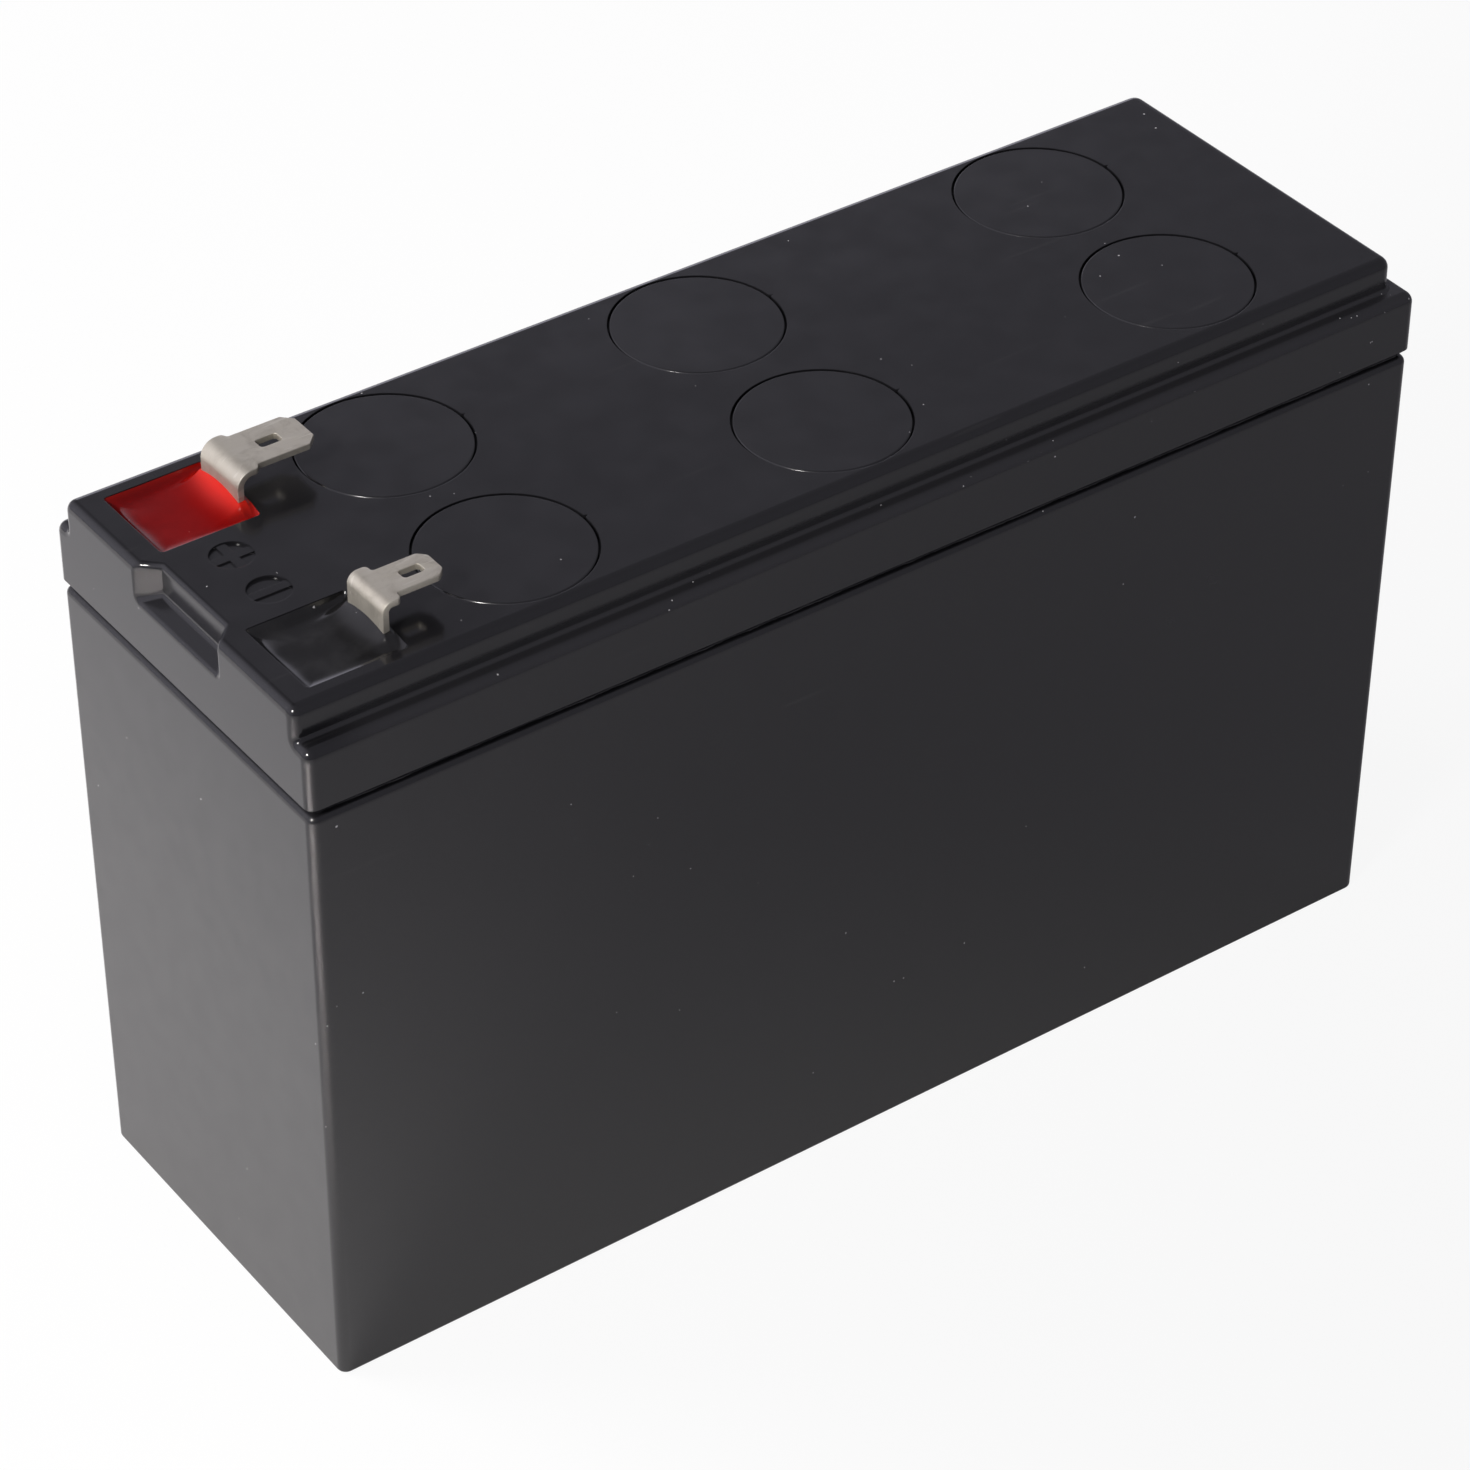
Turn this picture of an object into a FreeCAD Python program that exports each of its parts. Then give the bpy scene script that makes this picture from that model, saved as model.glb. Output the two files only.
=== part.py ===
import FreeCAD, Part
import math
import os
import Sketcher

# Sealed lead acid battery, 12 volt, six cells in two rows of three.
# Origin at the middle of the underside; +X runs along the length away from the terminal end,
# +Y towards the positive side, +Z up. Millimetres.

SIZES = [
    ("case_length", 151.0, "length over the cover"),
    ("case_width", 51.7, "width over the cover band"),
    ("case_height", 93.0, "height to the top of the platform"),
    ("cover_height", 12.8, "height of the cover above the container"),
    ("cover_overhang", 0.15, "cover stands out past the container, each side"),
    ("side_draft", 0.5, "container's long sides lean in over their height, each"),
    ("corner_radius", 1.2, "upright corners of container and cover"),
    ("foot_radius", 0.5, "round of the container's bottom edge"),
    ("rim_radius", 0.9, "round of the container's top edge"),
    ("wall", 2.0, "container wall at the bottom"),
    ("floor", 2.2, "container floor"),
    ("partition", 1.2, "walls between the cells"),
    ("rib_height", 2.0, "floor ribs under the plates"),
    ("rib_width", 2.0, "floor rib width"),
    ("rib_spread", 26.0, "distance between the two floor ribs of a cell"),
    ("bevel", 1.15, "bevel round the lower edge of the cover band"),
    ("ledge_drop", 4.1, "platform's top to the ledge beside it"),
    ("ledge_width", 2.45, "width of the ledge along the long sides"),
    ("far_ledge", 1.85, "width of the ledge at the far end"),
    ("ledge_round", 1.3, "outer round of the ledge"),
    ("ledge_root", 0.5, "hollow round where ledge and platform meet"),
    ("platform_round", 1.3, "round along the platform's top edges"),
    ("far_corner", 1.5, "upright corners at the platform's far end"),
    ("cover_wall", 2.2, "wall of the raised platform"),
    ("roof", 2.4, "thickness of the cover's top"),
    ("ledge_wall", 2.0, "wall under the ledge"),
    ("notch_back", 12.8, "width of the end notch at its back"),
    ("notch_depth", 2.3, "depth of the end notch into the end"),
    ("notch_wall", 3.8, "height of the end notch's back wall"),
    ("notch_fall", 1.0, "fall of the notch floor towards the end"),
    ("notch_root", 0.8, "hollow round at the foot of the notch walls"),
    ("notch_edge", 0.7, "round along the notch's outer edges"),
    ("pocket_size", 12.4, "terminal pocket, square"),
    ("pocket_corner", 0.5, "corner radius of the terminal pockets"),
    ("pocket_depth", 7.5, "depth of the terminal pockets"),
    ("pocket_inset", 9.7, "terminal end to the pockets' middle"),
    ("pocket_margin", 2.55, "platform's side to the pockets"),
    ("pocket_wall", 1.4, "wall round the terminal pockets"),
    ("pocket_floor", 3.4, "floor under the terminal pockets"),
    ("hollow_inset", 2.8, "pocket to the chamber beside it"),
    ("mark_inset", 9.4, "terminal end to the polarity marks"),
    ("mark_offset", 3.8, "middle line to the polarity marks"),
    ("mark_radius", 2.5, "round recess of a polarity mark"),
    ("mark_depth", 0.35, "depth of the recess"),
    ("mark_raise", 0.2, "height of the raised sign in the recess"),
    ("mark_bar", 1.2, "bar width of the raised sign"),
    ("near_lid", 33.7, "terminal end to the middle of the nearest lids"),
    ("middle_lid", 0.1, "X of the middle lids"),
    ("far_lid", 26.2, "far end to the middle of the nearest lids"),
    ("lid_margin", 1.25, "platform's side to a lid's seat"),
    ("lid_spacing", 3.5, "space between the seats of the two rows of lids"),
    ("lid_gap", 0.2, "gap round a lid"),
    ("lid_thickness", 1.7, "thickness of a lid"),
    ("lid_sink", 0.05, "lid lies below the platform"),
    ("lid_edge", 0.15, "bevel of a lid's top edge"),
    ("lid_boss_radius", 3.0, "stop under the lid"),
    ("lid_boss_height", 0.55, "height of the stop under the lid"),
    ("pry_half", 0.45, "half width of the pry notch beside a lid"),
    ("pry_reach", 0.5, "reach of the pry notch past the gap"),
    ("pry_depth", 0.8, "depth of the pry notch"),
    ("lid_rest", 1.75, "ring round the well that a lid rests on"),
    ("well_depth", 6.25, "depth of the well below the lid"),
    ("well_floor", 1.5, "floor under the valve well"),
    ("well_wall", 1.2, "wall round the lid's seat"),
    ("chimney_radius", 3.5, "vent chimney, outside"),
    ("chimney_bore", 1.6, "vent chimney, bore radius"),
    ("chimney_height", 4.3, "vent chimney above the well floor"),
    ("cap_wall", 1.2, "rubber valve cap wall and top"),
    ("cap_clearance", 0.02, "cap inside to chimney outside"),
    ("cap_lift", 0.6, "gap under the cap's rim"),
    ("cap_edge", 0.3, "bevel of the cap's top edge"),
    ("positive_thickness", 2.6, "positive plate thickness"),
    ("negative_thickness", 1.75, "negative plate thickness"),
    ("stack_clearance", 0.2, "plate stack to the cell wall, each side"),
    ("plate_gap", 2.0, "plate edge to the cell wall"),
    ("plate_drop", 14.0, "container's rim to the top of the plates"),
    ("mat_rise", 1.5, "mat stands above the plates"),
    ("mat_overlap", 0.6, "mat stands out past the plates at its open ends"),
    ("fold_gap", 0.3, "plate edge to the fold of the mat"),
    ("lug_width", 7.0, "plate lug width"),
    ("lug_inset", 5.0, "plate edge to the lug's middle"),
    ("lug_height", 4.0, "lug below the strap"),
    ("strap_thickness", 3.5, "lead strap thickness"),
    ("strap_reach", 4.5, "strap past the lug's middle, inward"),
    ("strap_gap", 0.3, "strap to the cell wall"),
    ("riser_thickness", 2.5, "upright on a strap at a partition"),
    ("riser_width", 9.0, "width of that upright"),
    ("riser_margin", 1.0, "upright past the link above"),
    ("link_radius", 3.2, "hole through the partition for the link"),
    ("link_clearance", 0.02, "link to its hole"),
    ("link_rise", 1.6, "strap's top to the middle of the links"),
    ("pole_radius", 3.0, "lead pole"),
    ("pole_clearance", 0.15, "pole to its hole in the cover"),
    ("shoulder_drop", 0.1, "pole shoulder below the tab's foot"),
    ("neck_radius", 2.0, "neck of the pole through the tab's foot"),
    ("neck_clearance", 0.02, "neck to the hole in the foot"),
    ("neck_rise", 0.9, "neck above the tab's foot"),
    ("seal_section", 1.8, "thickness of the pole seal's groove"),
    ("seal_clearance", 0.03, "seal to pole and groove"),
    ("seal_depth", 1.9, "depth of the seal's groove"),
    ("tab_thickness", 0.8, "sheet of the tabs"),
    ("tab_rise", 4.2, "top of the tabs above the platform"),
    ("riser_gap", 0.6, "pocket wall to the tab's upright"),
    ("foot_bend", 1.0, "outer radius of the bend at the foot"),
    ("foot_end", 4.0, "foot past the pole's middle"),
    ("positive_reach", 10.9, "upright to the tip of the positive blade"),
    ("positive_blade", 7.95, "length of the positive blade"),
    ("positive_width", 6.35, "width of the positive blade"),
    ("positive_shoulder", 7.8, "width of the positive upright"),
    ("positive_bend", 2.0, "outer bend radius, positive"),
    ("positive_tip", 1.25, "corner cut of the positive tip"),
    ("positive_slot_length", 2.7, "slot in the positive blade"),
    ("positive_slot_width", 1.65, "slot in the positive blade"),
    ("positive_slot_end", 4.55, "slot middle to the tip"),
    ("negative_reach", 8.8, "upright to the tip of the negative blade"),
    ("negative_blade", 6.35, "length of the negative blade"),
    ("negative_width", 4.75, "width of the negative blade"),
    ("negative_shoulder", 7.0, "width of the negative upright"),
    ("negative_bend", 1.3, "outer bend radius, negative"),
    ("negative_tip", 1.4, "corner round of the negative tip"),
    ("negative_slot_length", 2.6, "slot in the negative blade"),
    ("negative_slot_width", 1.5, "slot in the negative blade"),
    ("negative_slot_end", 3.0, "slot middle to the tip"),
    ("slot_corner", 0.4, "corner radius of the slots"),
    ("shoulder_round", 0.6, "round of the shoulders"),
    ("resin_sink", 1.0, "resin level below the platform"),
    ("resin_rim", 0.5, "resin climbs the pocket walls by this"),
    ("resin_creep", 0.45, "radius of that climb"),
    ("resin_peak", 2.2, "resin climbs the tab's middle by this"),
    ("resin_edge", 1.6, "resin climbs the tab's edges by this"),
    ("resin_peak_run", 2.9, "foot of the climb at the tab's middle"),
    ("resin_edge_run", 2.3, "foot of the climb at the tab's edges"),
    ("resin_side_run", 1.3, "foot of the climb at the pocket's side"),
    ("resin_side", 0.55, "resin climbs the wall behind the tab by this at its sides"),
    ("resin_bed", 0.3, "climb starts this far below the level"),
    ("cut_past", 0.6, "cuts that open a wall run past it by this"),
]

# Cells along the length and across the width, and plates in a cell.
COLUMNS = (-1, 0, 1)
ROWS = (1, -1)
POSITIVES = 3
NEGATIVES = 4

# How close a point has to be to count as there, and the shortest edge that is looked for.
CLOSE = 0.02
SHORTEST = 0.1

doc = FreeCAD.newDocument("SealedBattery")
sheet = doc.addObject("Spreadsheet::Sheet", "sizes")
for row, (name, number, note) in enumerate(SIZES, start=1):
    sheet.set(f"A{row}", note)
    sheet.set(f"B{row}", str(number))
    sheet.setAlias(f"B{row}", name)
doc.recompute()


class Size:
    """A length with its number now and the sheet expression that gives it."""

    def __init__(self, number, text):
        self.number = float(number)
        self.text = text

    def __add__(self, other):
        other = size(other)
        return Size(self.number + other.number, f"({self.text} + {other.text})")

    def __sub__(self, other):
        other = size(other)
        return Size(self.number - other.number, f"({self.text} - {other.text})")

    def __mul__(self, other):
        other = size(other)
        return Size(self.number * other.number, f"{self.text} * {other.text}")

    def __truediv__(self, other):
        other = size(other)
        return Size(self.number / other.number, f"({self.text}) / ({other.text})")

    def __neg__(self):
        return Size(-self.number, f"(0 - {self.text})")


def size(value):
    """A plain number as a Size; a Size as it is."""
    if isinstance(value, Size):
        return value
    return Size(value, f"({value})" if value < 0 else f"{value}")


class Sheet:
    """Each driving dimension of the sheet as a Size."""

    def __init__(self):
        for name, _, _ in SIZES:
            setattr(self, name, Size(sheet.get(name), f"sizes.{name}"))


S = Sheet()
ZERO = size(0)

# Values that several pieces share, worked out from the driving dimensions.
half_length = S.case_length / 2
half_width = S.case_width / 2
container_height = S.case_height - S.cover_height
ledge_height = S.case_height - S.ledge_drop
step_height = ledge_height - S.ledge_wall
mouth_half_length = half_length - S.cover_overhang
mouth_half_width = half_width - S.cover_overhang
foot_half_width = mouth_half_width - S.side_draft
inner_half_length = mouth_half_length - S.wall
inner_half_width = foot_half_width - S.wall
cell_length = (inner_half_length * 2 - S.partition * (len(COLUMNS) - 1)) / len(COLUMNS)
cell_width = (inner_half_width * 2 - S.partition) / len(ROWS)
column_pitch = cell_length + S.partition
row_offset = (cell_width + S.partition) / 2
platform_half_width = half_width - S.ledge_width
platform_far = half_length - S.far_ledge
roof_height = S.case_height - S.roof
seat_height = S.case_height - S.lid_sink - S.lid_thickness
seat_radius = (platform_half_width - S.lid_margin - S.lid_spacing / 2) / 2
lid_radius = seat_radius - S.lid_gap
well_radius = lid_radius - S.lid_rest
lid_offset = platform_half_width - S.lid_margin - seat_radius
well_bottom = seat_height - S.well_depth
chimney_top = well_bottom + S.chimney_height
pocket_x = S.pocket_inset - half_length
pocket_bottom = S.case_height - S.pocket_depth
pocket_half = S.pocket_size / 2
pocket_offset = platform_half_width - S.pocket_margin - pocket_half
pocket_boss_bottom = pocket_bottom - S.pocket_floor
seal_radius = S.pole_radius + S.seal_section
stack_half = cell_width / 2 - S.stack_clearance
lead_thickness = S.positive_thickness * POSITIVES + S.negative_thickness * NEGATIVES
mat_thickness = (stack_half * 2 - lead_thickness) / (POSITIVES * 2)
stack_pitch = S.positive_thickness + S.negative_thickness + mat_thickness * 2
plate_half = cell_length / 2 - S.plate_gap
plate_bottom = S.floor + S.rib_height
plate_top = container_height - S.plate_drop
lug_x = plate_half - S.lug_inset
strap_bottom = plate_top + S.lug_height
strap_top = strap_bottom + S.strap_thickness
link_height = strap_top + S.link_rise
strap_end = cell_length / 2 - S.strap_gap
pole_x = -column_pitch - lug_x
resin_level = S.case_height - S.resin_sink
tab_top = S.case_height + S.tab_rise
upright_front = pocket_x + pocket_half - S.riser_gap - S.tab_thickness
LID_COLUMNS = (S.near_lid - half_length, S.middle_lid, half_length - S.far_lid)


def vector(x=0.0, y=0.0, z=0.0):
    return FreeCAD.Vector(x, y, z)


def new_body(label):
    body = doc.addObject("PartDesign::Body", label)
    body.Label = label
    return body


def place(item, x=ZERO, y=ZERO, z=ZERO):
    """Puts a sub-part at a place that the sheet gives."""
    item.Placement = FreeCAD.Placement(vector(x.number, y.number, z.number), FreeCAD.Rotation())
    for axis, value in (("x", x), ("y", y), ("z", z)):
        item.setExpression(f".Placement.Base.{axis}", value.text)


def new_sketch(body, name, role="XY_Plane", offset=ZERO):
    """A sketch on one of the body's own origin planes, moved along the plane's normal."""
    plane = [item for item in body.Origin.OriginFeatures if item.Role == role][0]
    sketch = body.newObject("Sketcher::SketchObject", name)
    sketch.AttachmentSupport = (plane, [""])
    sketch.MapMode = "FlatFace"
    sketch.AttachmentOffset = FreeCAD.Placement(vector(z=offset.number), FreeCAD.Rotation())
    sketch.setExpression(".AttachmentOffset.Base.z", offset.text)
    return sketch


def fix(sketch, kind, where, value):
    """Adds one measured constraint bound to the sheet."""
    index = sketch.addConstraint(Sketcher.Constraint(kind, *where, value.number))
    sketch.setExpression(f"Constraints[{index}]", value.text)


def fix_point(sketch, line, end, x, y):
    """Ties a line's end to the origin; end is 1 for the start and 2 for the other."""
    fix(sketch, "DistanceX", (-1, 1, line, end), x)
    fix(sketch, "DistanceY", (-1, 1, line, end), y)


def chain(sketch, points):
    """Closed loop of straight lines through points given as pairs of Size."""
    lines = []
    for (ax, ay), (bx, by) in zip(points, points[1:] + points[:1]):
        segment = Part.LineSegment(vector(ax.number, ay.number), vector(bx.number, by.number))
        lines.append(sketch.addGeometry(segment, False))
    for here, following in zip(lines, lines[1:] + lines[:1]):
        sketch.addConstraint(Sketcher.Constraint("Coincident", here, 2, following, 1))
    return lines


def outline(sketch, points):
    """Closed outline of straight lines, each point tied to the origin."""
    for line, (x, y) in zip(chain(sketch, points), points):
        fix_point(sketch, line, 1, x, y)


def square_outline(sketch, points):
    """Closed outline whose lines run along the two axes in turn, the first along X."""
    for number, (line, (x, y)) in enumerate(zip(chain(sketch, points), points)):
        if number % 2 == 0:
            sketch.addConstraint(Sketcher.Constraint("Horizontal", line))
            fix(sketch, "DistanceY", (-1, 1, line, 1), y)
        else:
            sketch.addConstraint(Sketcher.Constraint("Vertical", line))
            fix(sketch, "DistanceX", (-1, 1, line, 1), x)


def rectangle(sketch, left, right, low, high):
    square_outline(sketch, [(left, low), (right, low), (right, high), (left, high)])


def box_outline(sketch, x, y, half_x, half_y):
    """Rectangle about a middle point."""
    rectangle(sketch, x - half_x, x + half_x, y - half_y, y + half_y)


def ordered(a, b):
    """Two Sizes, the smaller first."""
    return (a, b) if a.number < b.number else (b, a)


def way(a, b):
    """-1, 0 or 1: the way from a to b."""
    return 0 if abs(b - a) < CLOSE else int(math.copysign(1, b - a))


def round_cornered(sketch, corners):
    """Closed outline along the two axes, given as corners (x, y, radius); ZERO is a sharp corner."""
    joints = []
    for number, (x, y, radius) in enumerate(corners):
        last_x, last_y, _ = corners[number - 1]
        next_x, next_y, _ = corners[(number + 1) % len(corners)]
        coming = (way(last_x.number, x.number), way(last_y.number, y.number))
        going = (way(x.number, next_x.number), way(y.number, next_y.number))
        start = (x - radius * coming[0], y - radius * coming[1])
        end = (x + radius * going[0], y + radius * going[1])
        left_turn = coming[0] * going[1] - coming[1] * going[0] > 0
        joints.append((start, end, radius, coming, going, left_turn))
    lines = []
    for here, following in zip(joints, joints[1:] + joints[:1]):
        (ax, ay), (bx, by) = here[1], following[0]
        segment = Part.LineSegment(vector(ax.number, ay.number), vector(bx.number, by.number))
        lines.append(sketch.addGeometry(segment, False))
        fix_point(sketch, lines[-1], 1, ax, ay)
        fix_point(sketch, lines[-1], 2, bx, by)
    for number, (start, end, radius, _, going, left_turn) in enumerate(joints):
        before, after = lines[number - 1], lines[number]
        if radius is ZERO:
            continue
        centre = vector((start[0] + radius * going[0]).number, (start[1] + radius * going[1]).number)
        first, last = (start, end) if left_turn else (end, start)
        turns = [math.atan2(y.number - centre.y, x.number - centre.x) for x, y in (first, last)]
        if turns[1] < turns[0]:
            turns[1] += math.pi * 2
        round_line = Part.Circle(centre, vector(z=1), radius.number)
        arc = sketch.addGeometry(Part.ArcOfCircle(round_line, *turns), False)
        arc_in, arc_out = (1, 2) if left_turn else (2, 1)
        sketch.addConstraint(Sketcher.Constraint("Coincident", before, 2, arc, arc_in))
        sketch.addConstraint(Sketcher.Constraint("Coincident", arc, arc_out, after, 1))
        fix(sketch, "Radius", (arc,), radius)


def circle(sketch, x, y, radius):
    round_line = Part.Circle(vector(x.number, y.number), vector(z=1), radius.number)
    index = sketch.addGeometry(round_line, False)
    fix(sketch, "DistanceX", (-1, 1, index, 3), x)
    fix(sketch, "DistanceY", (-1, 1, index, 3), y)
    fix(sketch, "Radius", (index,), radius)


def pad(body, sketch, length, name, downward=False, both_ways=False):
    """Adds the sketch's shape; downward goes against the sketch's normal."""
    feature = body.newObject("PartDesign::Pad", name)
    feature.Profile = sketch
    feature.Type = "Length"
    feature.Length = length.number
    feature.setExpression("Length", length.text)
    feature.Reversed = downward
    feature.SideType = "Symmetric" if both_ways else "One side"
    doc.recompute()


def cut(body, sketch, depth, name, upward=False, both_ways=False):
    """Takes the sketch's shape away, and makes sure that it took something."""
    before = body.Shape.Volume
    feature = body.newObject("PartDesign::Pocket", name)
    feature.Profile = sketch
    feature.Type = "Length"
    feature.Length = depth.number
    feature.setExpression("Length", depth.text)
    feature.Reversed = upward
    feature.SideType = "Symmetric" if both_ways else "One side"
    doc.recompute()
    if body.Shape.Volume >= before:
        raise RuntimeError(f"{body.Label}: {name} cuts nothing")


def edge_names(shape, test):
    """Names of the edges that the test picks by their ends and middle."""
    names = []
    for number, edge in enumerate(shape.Edges, start=1):
        middle = edge.valueAt((edge.FirstParameter + edge.LastParameter) / 2)
        if test(edge, middle):
            names.append(f"Edge{number}")
    return names


def dress(body, kind, value, test, name):
    """Fillet or Chamfer of the edges that the test picks."""
    base = body.Tip
    names = edge_names(base.Shape, test)
    if not names:
        raise RuntimeError(f"{body.Label}: no edge for {name}")
    feature = body.newObject(f"PartDesign::{kind}", name)
    feature.Base = (base, names)
    prop = "Radius" if kind == "Fillet" else "Size"
    setattr(feature, prop, value.number)
    feature.setExpression(prop, value.text)
    doc.recompute()


def near(a, b):
    return abs(a - b) < CLOSE


def is_upright(edge):
    """True for a straight edge along Z."""
    a, b = edge.Vertexes[0].Point, edge.Vertexes[-1].Point
    return near(a.x, b.x) and near(a.y, b.y) and abs(a.z - b.z) > SHORTEST


def lies_at(edge, height):
    """True for an edge that stays at one height."""
    box = edge.BoundBox
    return near(box.ZMin, height) and near(box.ZMax, height)


def build_container():
    """Tall open box with draft, six cells, floor ribs and link holes through the partitions."""
    body = new_body("container")
    section = new_sketch(body, "ContainerSection", "YZ_Plane")
    outline(section, [(-foot_half_width, ZERO), (foot_half_width, ZERO),
                      (mouth_half_width, container_height), (-mouth_half_width, container_height)])
    pad(body, section, mouth_half_length * 2, "ContainerBlock", both_ways=True)

    def leaning_corner(edge, middle):
        return edge.BoundBox.ZLength > container_height.number / 2
    dress(body, "Fillet", S.corner_radius, leaning_corner, "ContainerCorners")
    dress(body, "Fillet", S.foot_radius, lambda e, m: lies_at(e, 0), "ContainerFootRound")
    rim = container_height.number
    dress(body, "Fillet", S.rim_radius, lambda e, m: lies_at(e, rim), "ContainerRimRound")

    cells = new_sketch(body, "Cells", offset=container_height)
    for column in COLUMNS:
        for row in ROWS:
            box_outline(cells, column_pitch * column, row_offset * row, cell_length / 2, cell_width / 2)
    cut(body, cells, container_height - S.floor, "CellHollows")
    ribs = new_sketch(body, "FloorRibs", offset=S.floor)
    for column in COLUMNS:
        for side in (-1, 1):
            x = column_pitch * column + S.rib_spread * (side / 2)
            box_outline(ribs, x, ZERO, S.rib_width / 2, inner_half_width)
    pad(body, ribs, S.rib_height, "FloorRibPads")

    for number, side in enumerate((-1, 1), start=1):
        holes = new_sketch(body, f"CrossLinks{number}", "YZ_Plane", column_pitch * (side / 2))
        for row in ROWS:
            circle(holes, row_offset * row, link_height, S.link_radius)
        cut(body, holes, S.partition + S.cut_past, f"CrossLinkHoles{number}", both_ways=True)
    hole = new_sketch(body, "LengthLink", "XZ_Plane")
    circle(hole, column_pitch + lug_x, link_height, S.link_radius)
    cut(body, hole, S.partition + S.cut_past, "LengthLinkHole", both_ways=True)
    return body


def build_cover():
    """Band with the raised platform on it, then everything cut into them from above and below."""
    body = new_body("cover")
    base, ledge = container_height, ledge_height
    band = new_sketch(body, "BandSection", "YZ_Plane", -half_length)
    round_cornered(band, [(-half_width, base, ZERO), (half_width, base, ZERO),
                          (half_width, ledge, S.ledge_round), (-half_width, ledge, S.ledge_round)])
    pad(body, band, S.case_length, "BandBlock")
    platform = new_sketch(body, "PlatformPlan", offset=ledge)
    rectangle(platform, -half_length, platform_far, -platform_half_width, platform_half_width)
    pad(body, platform, S.case_height - ledge, "PlatformBlock")
    end_x, far_x = half_length.number, platform_far.number
    side_y, top = platform_half_width.number, S.case_height.number

    def far_corner(edge, middle):
        return is_upright(edge) and near(middle.x, far_x)
    dress(body, "Fillet", S.far_corner, far_corner, "FarCorners")

    def platform_top(edge, middle):
        return lies_at(edge, top) and not near(middle.x, -end_x)
    dress(body, "Fillet", S.platform_round, platform_top, "PlatformTopRound")

    def platform_root(edge, middle):
        return lies_at(edge, ledge.number) and near(abs(middle.y), side_y)
    dress(body, "Fillet", S.ledge_root, platform_root, "LedgeRoot")

    def end_edge(at):
        def test(edge, middle):
            box = edge.BoundBox
            return near(box.XMin, at) and near(box.XMax, at) and not lies_at(edge, base.number)
        return test
    dress(body, "Fillet", S.corner_radius, end_edge(-end_x), "TerminalEndRound")
    dress(body, "Fillet", S.corner_radius, end_edge(end_x), "FarEndRound")

    dress(body, "Chamfer", S.bevel, lambda e, m: lies_at(e, base.number), "BandBevel")

    build_notch(body)
    build_hollow(body)
    build_wells(body)
    build_pockets(body)
    build_marks(body)
    return body


def build_notch(body):
    """Notch in the top of the terminal end: slanted side walls and a floor that falls outward."""
    back = S.notch_depth - half_length
    half_back = S.notch_back / 2
    front = -half_length - S.notch_depth
    half_front = half_back + S.notch_depth * 2
    plan = new_sketch(body, "NotchPlan", offset=S.case_height)
    outline(plan, [(back, -half_back), (back, half_back), (front, half_front), (front, -half_front)])
    cut(body, plan, S.notch_wall + S.notch_fall, "NotchCut")
    floor_high = S.case_height - S.notch_wall
    floor_low = floor_high - S.notch_fall
    wedge = new_sketch(body, "NotchFloor", "XZ_Plane")
    outline(wedge, [(back, floor_low - S.notch_fall), (back, floor_high), (-half_length, floor_low),
                    (-half_length, floor_low - S.notch_fall)])
    pad(body, wedge, (half_back + S.notch_depth) * 2, "NotchWedge", both_ways=True)

    reach = half_front.number
    low, high = floor_low.number, floor_high.number

    def floor_edge(edge, middle):
        box = edge.BoundBox
        inside = box.ZMin > low - CLOSE and box.ZMax < high + CLOSE and abs(middle.y) < reach
        return inside and box.XMax < back.number + CLOSE and not near(box.XMax, -half_length.number)
    dress(body, "Fillet", S.notch_root, floor_edge, "NotchRoot")

    def outer_edge(edge, middle):
        box = edge.BoundBox
        inside = box.ZMin > low - CLOSE and abs(middle.y) < reach and box.XMax < back.number + CLOSE
        at_top = lies_at(edge, S.case_height.number)
        at_end = near(box.XMin, -half_length.number)
        return inside and (at_top or at_end)
    dress(body, "Fillet", S.notch_edge, outer_edge, "NotchEdge")


def build_hollow(body):
    """Hollow under the cover, one chamber over each cell, narrower inside the platform."""
    low = new_sketch(body, "LowChambers", offset=container_height)
    high = new_sketch(body, "HighChambers", offset=step_height)
    boss_end = pocket_x + pocket_half + S.hollow_inset
    inner_side = platform_half_width - S.cover_wall
    far_side = platform_far - S.cover_wall
    half_cell = cell_length / 2
    spans = [
        (boss_end, half_cell - column_pitch),
        (-half_cell, half_cell),
        (column_pitch - half_cell, far_side),
    ]
    for row in ROWS:
        for column in COLUMNS:
            box_outline(low, column_pitch * column, row_offset * row, half_cell, cell_width / 2)
        for left, right in spans:
            edges = ordered(S.partition / 2 * row, inner_side * row)
            rectangle(high, left, right, *edges)
    cut(body, low, step_height - container_height, "LowChamberCut", upward=True)
    cut(body, high, roof_height - step_height, "HighChamberCut", upward=True)


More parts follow.
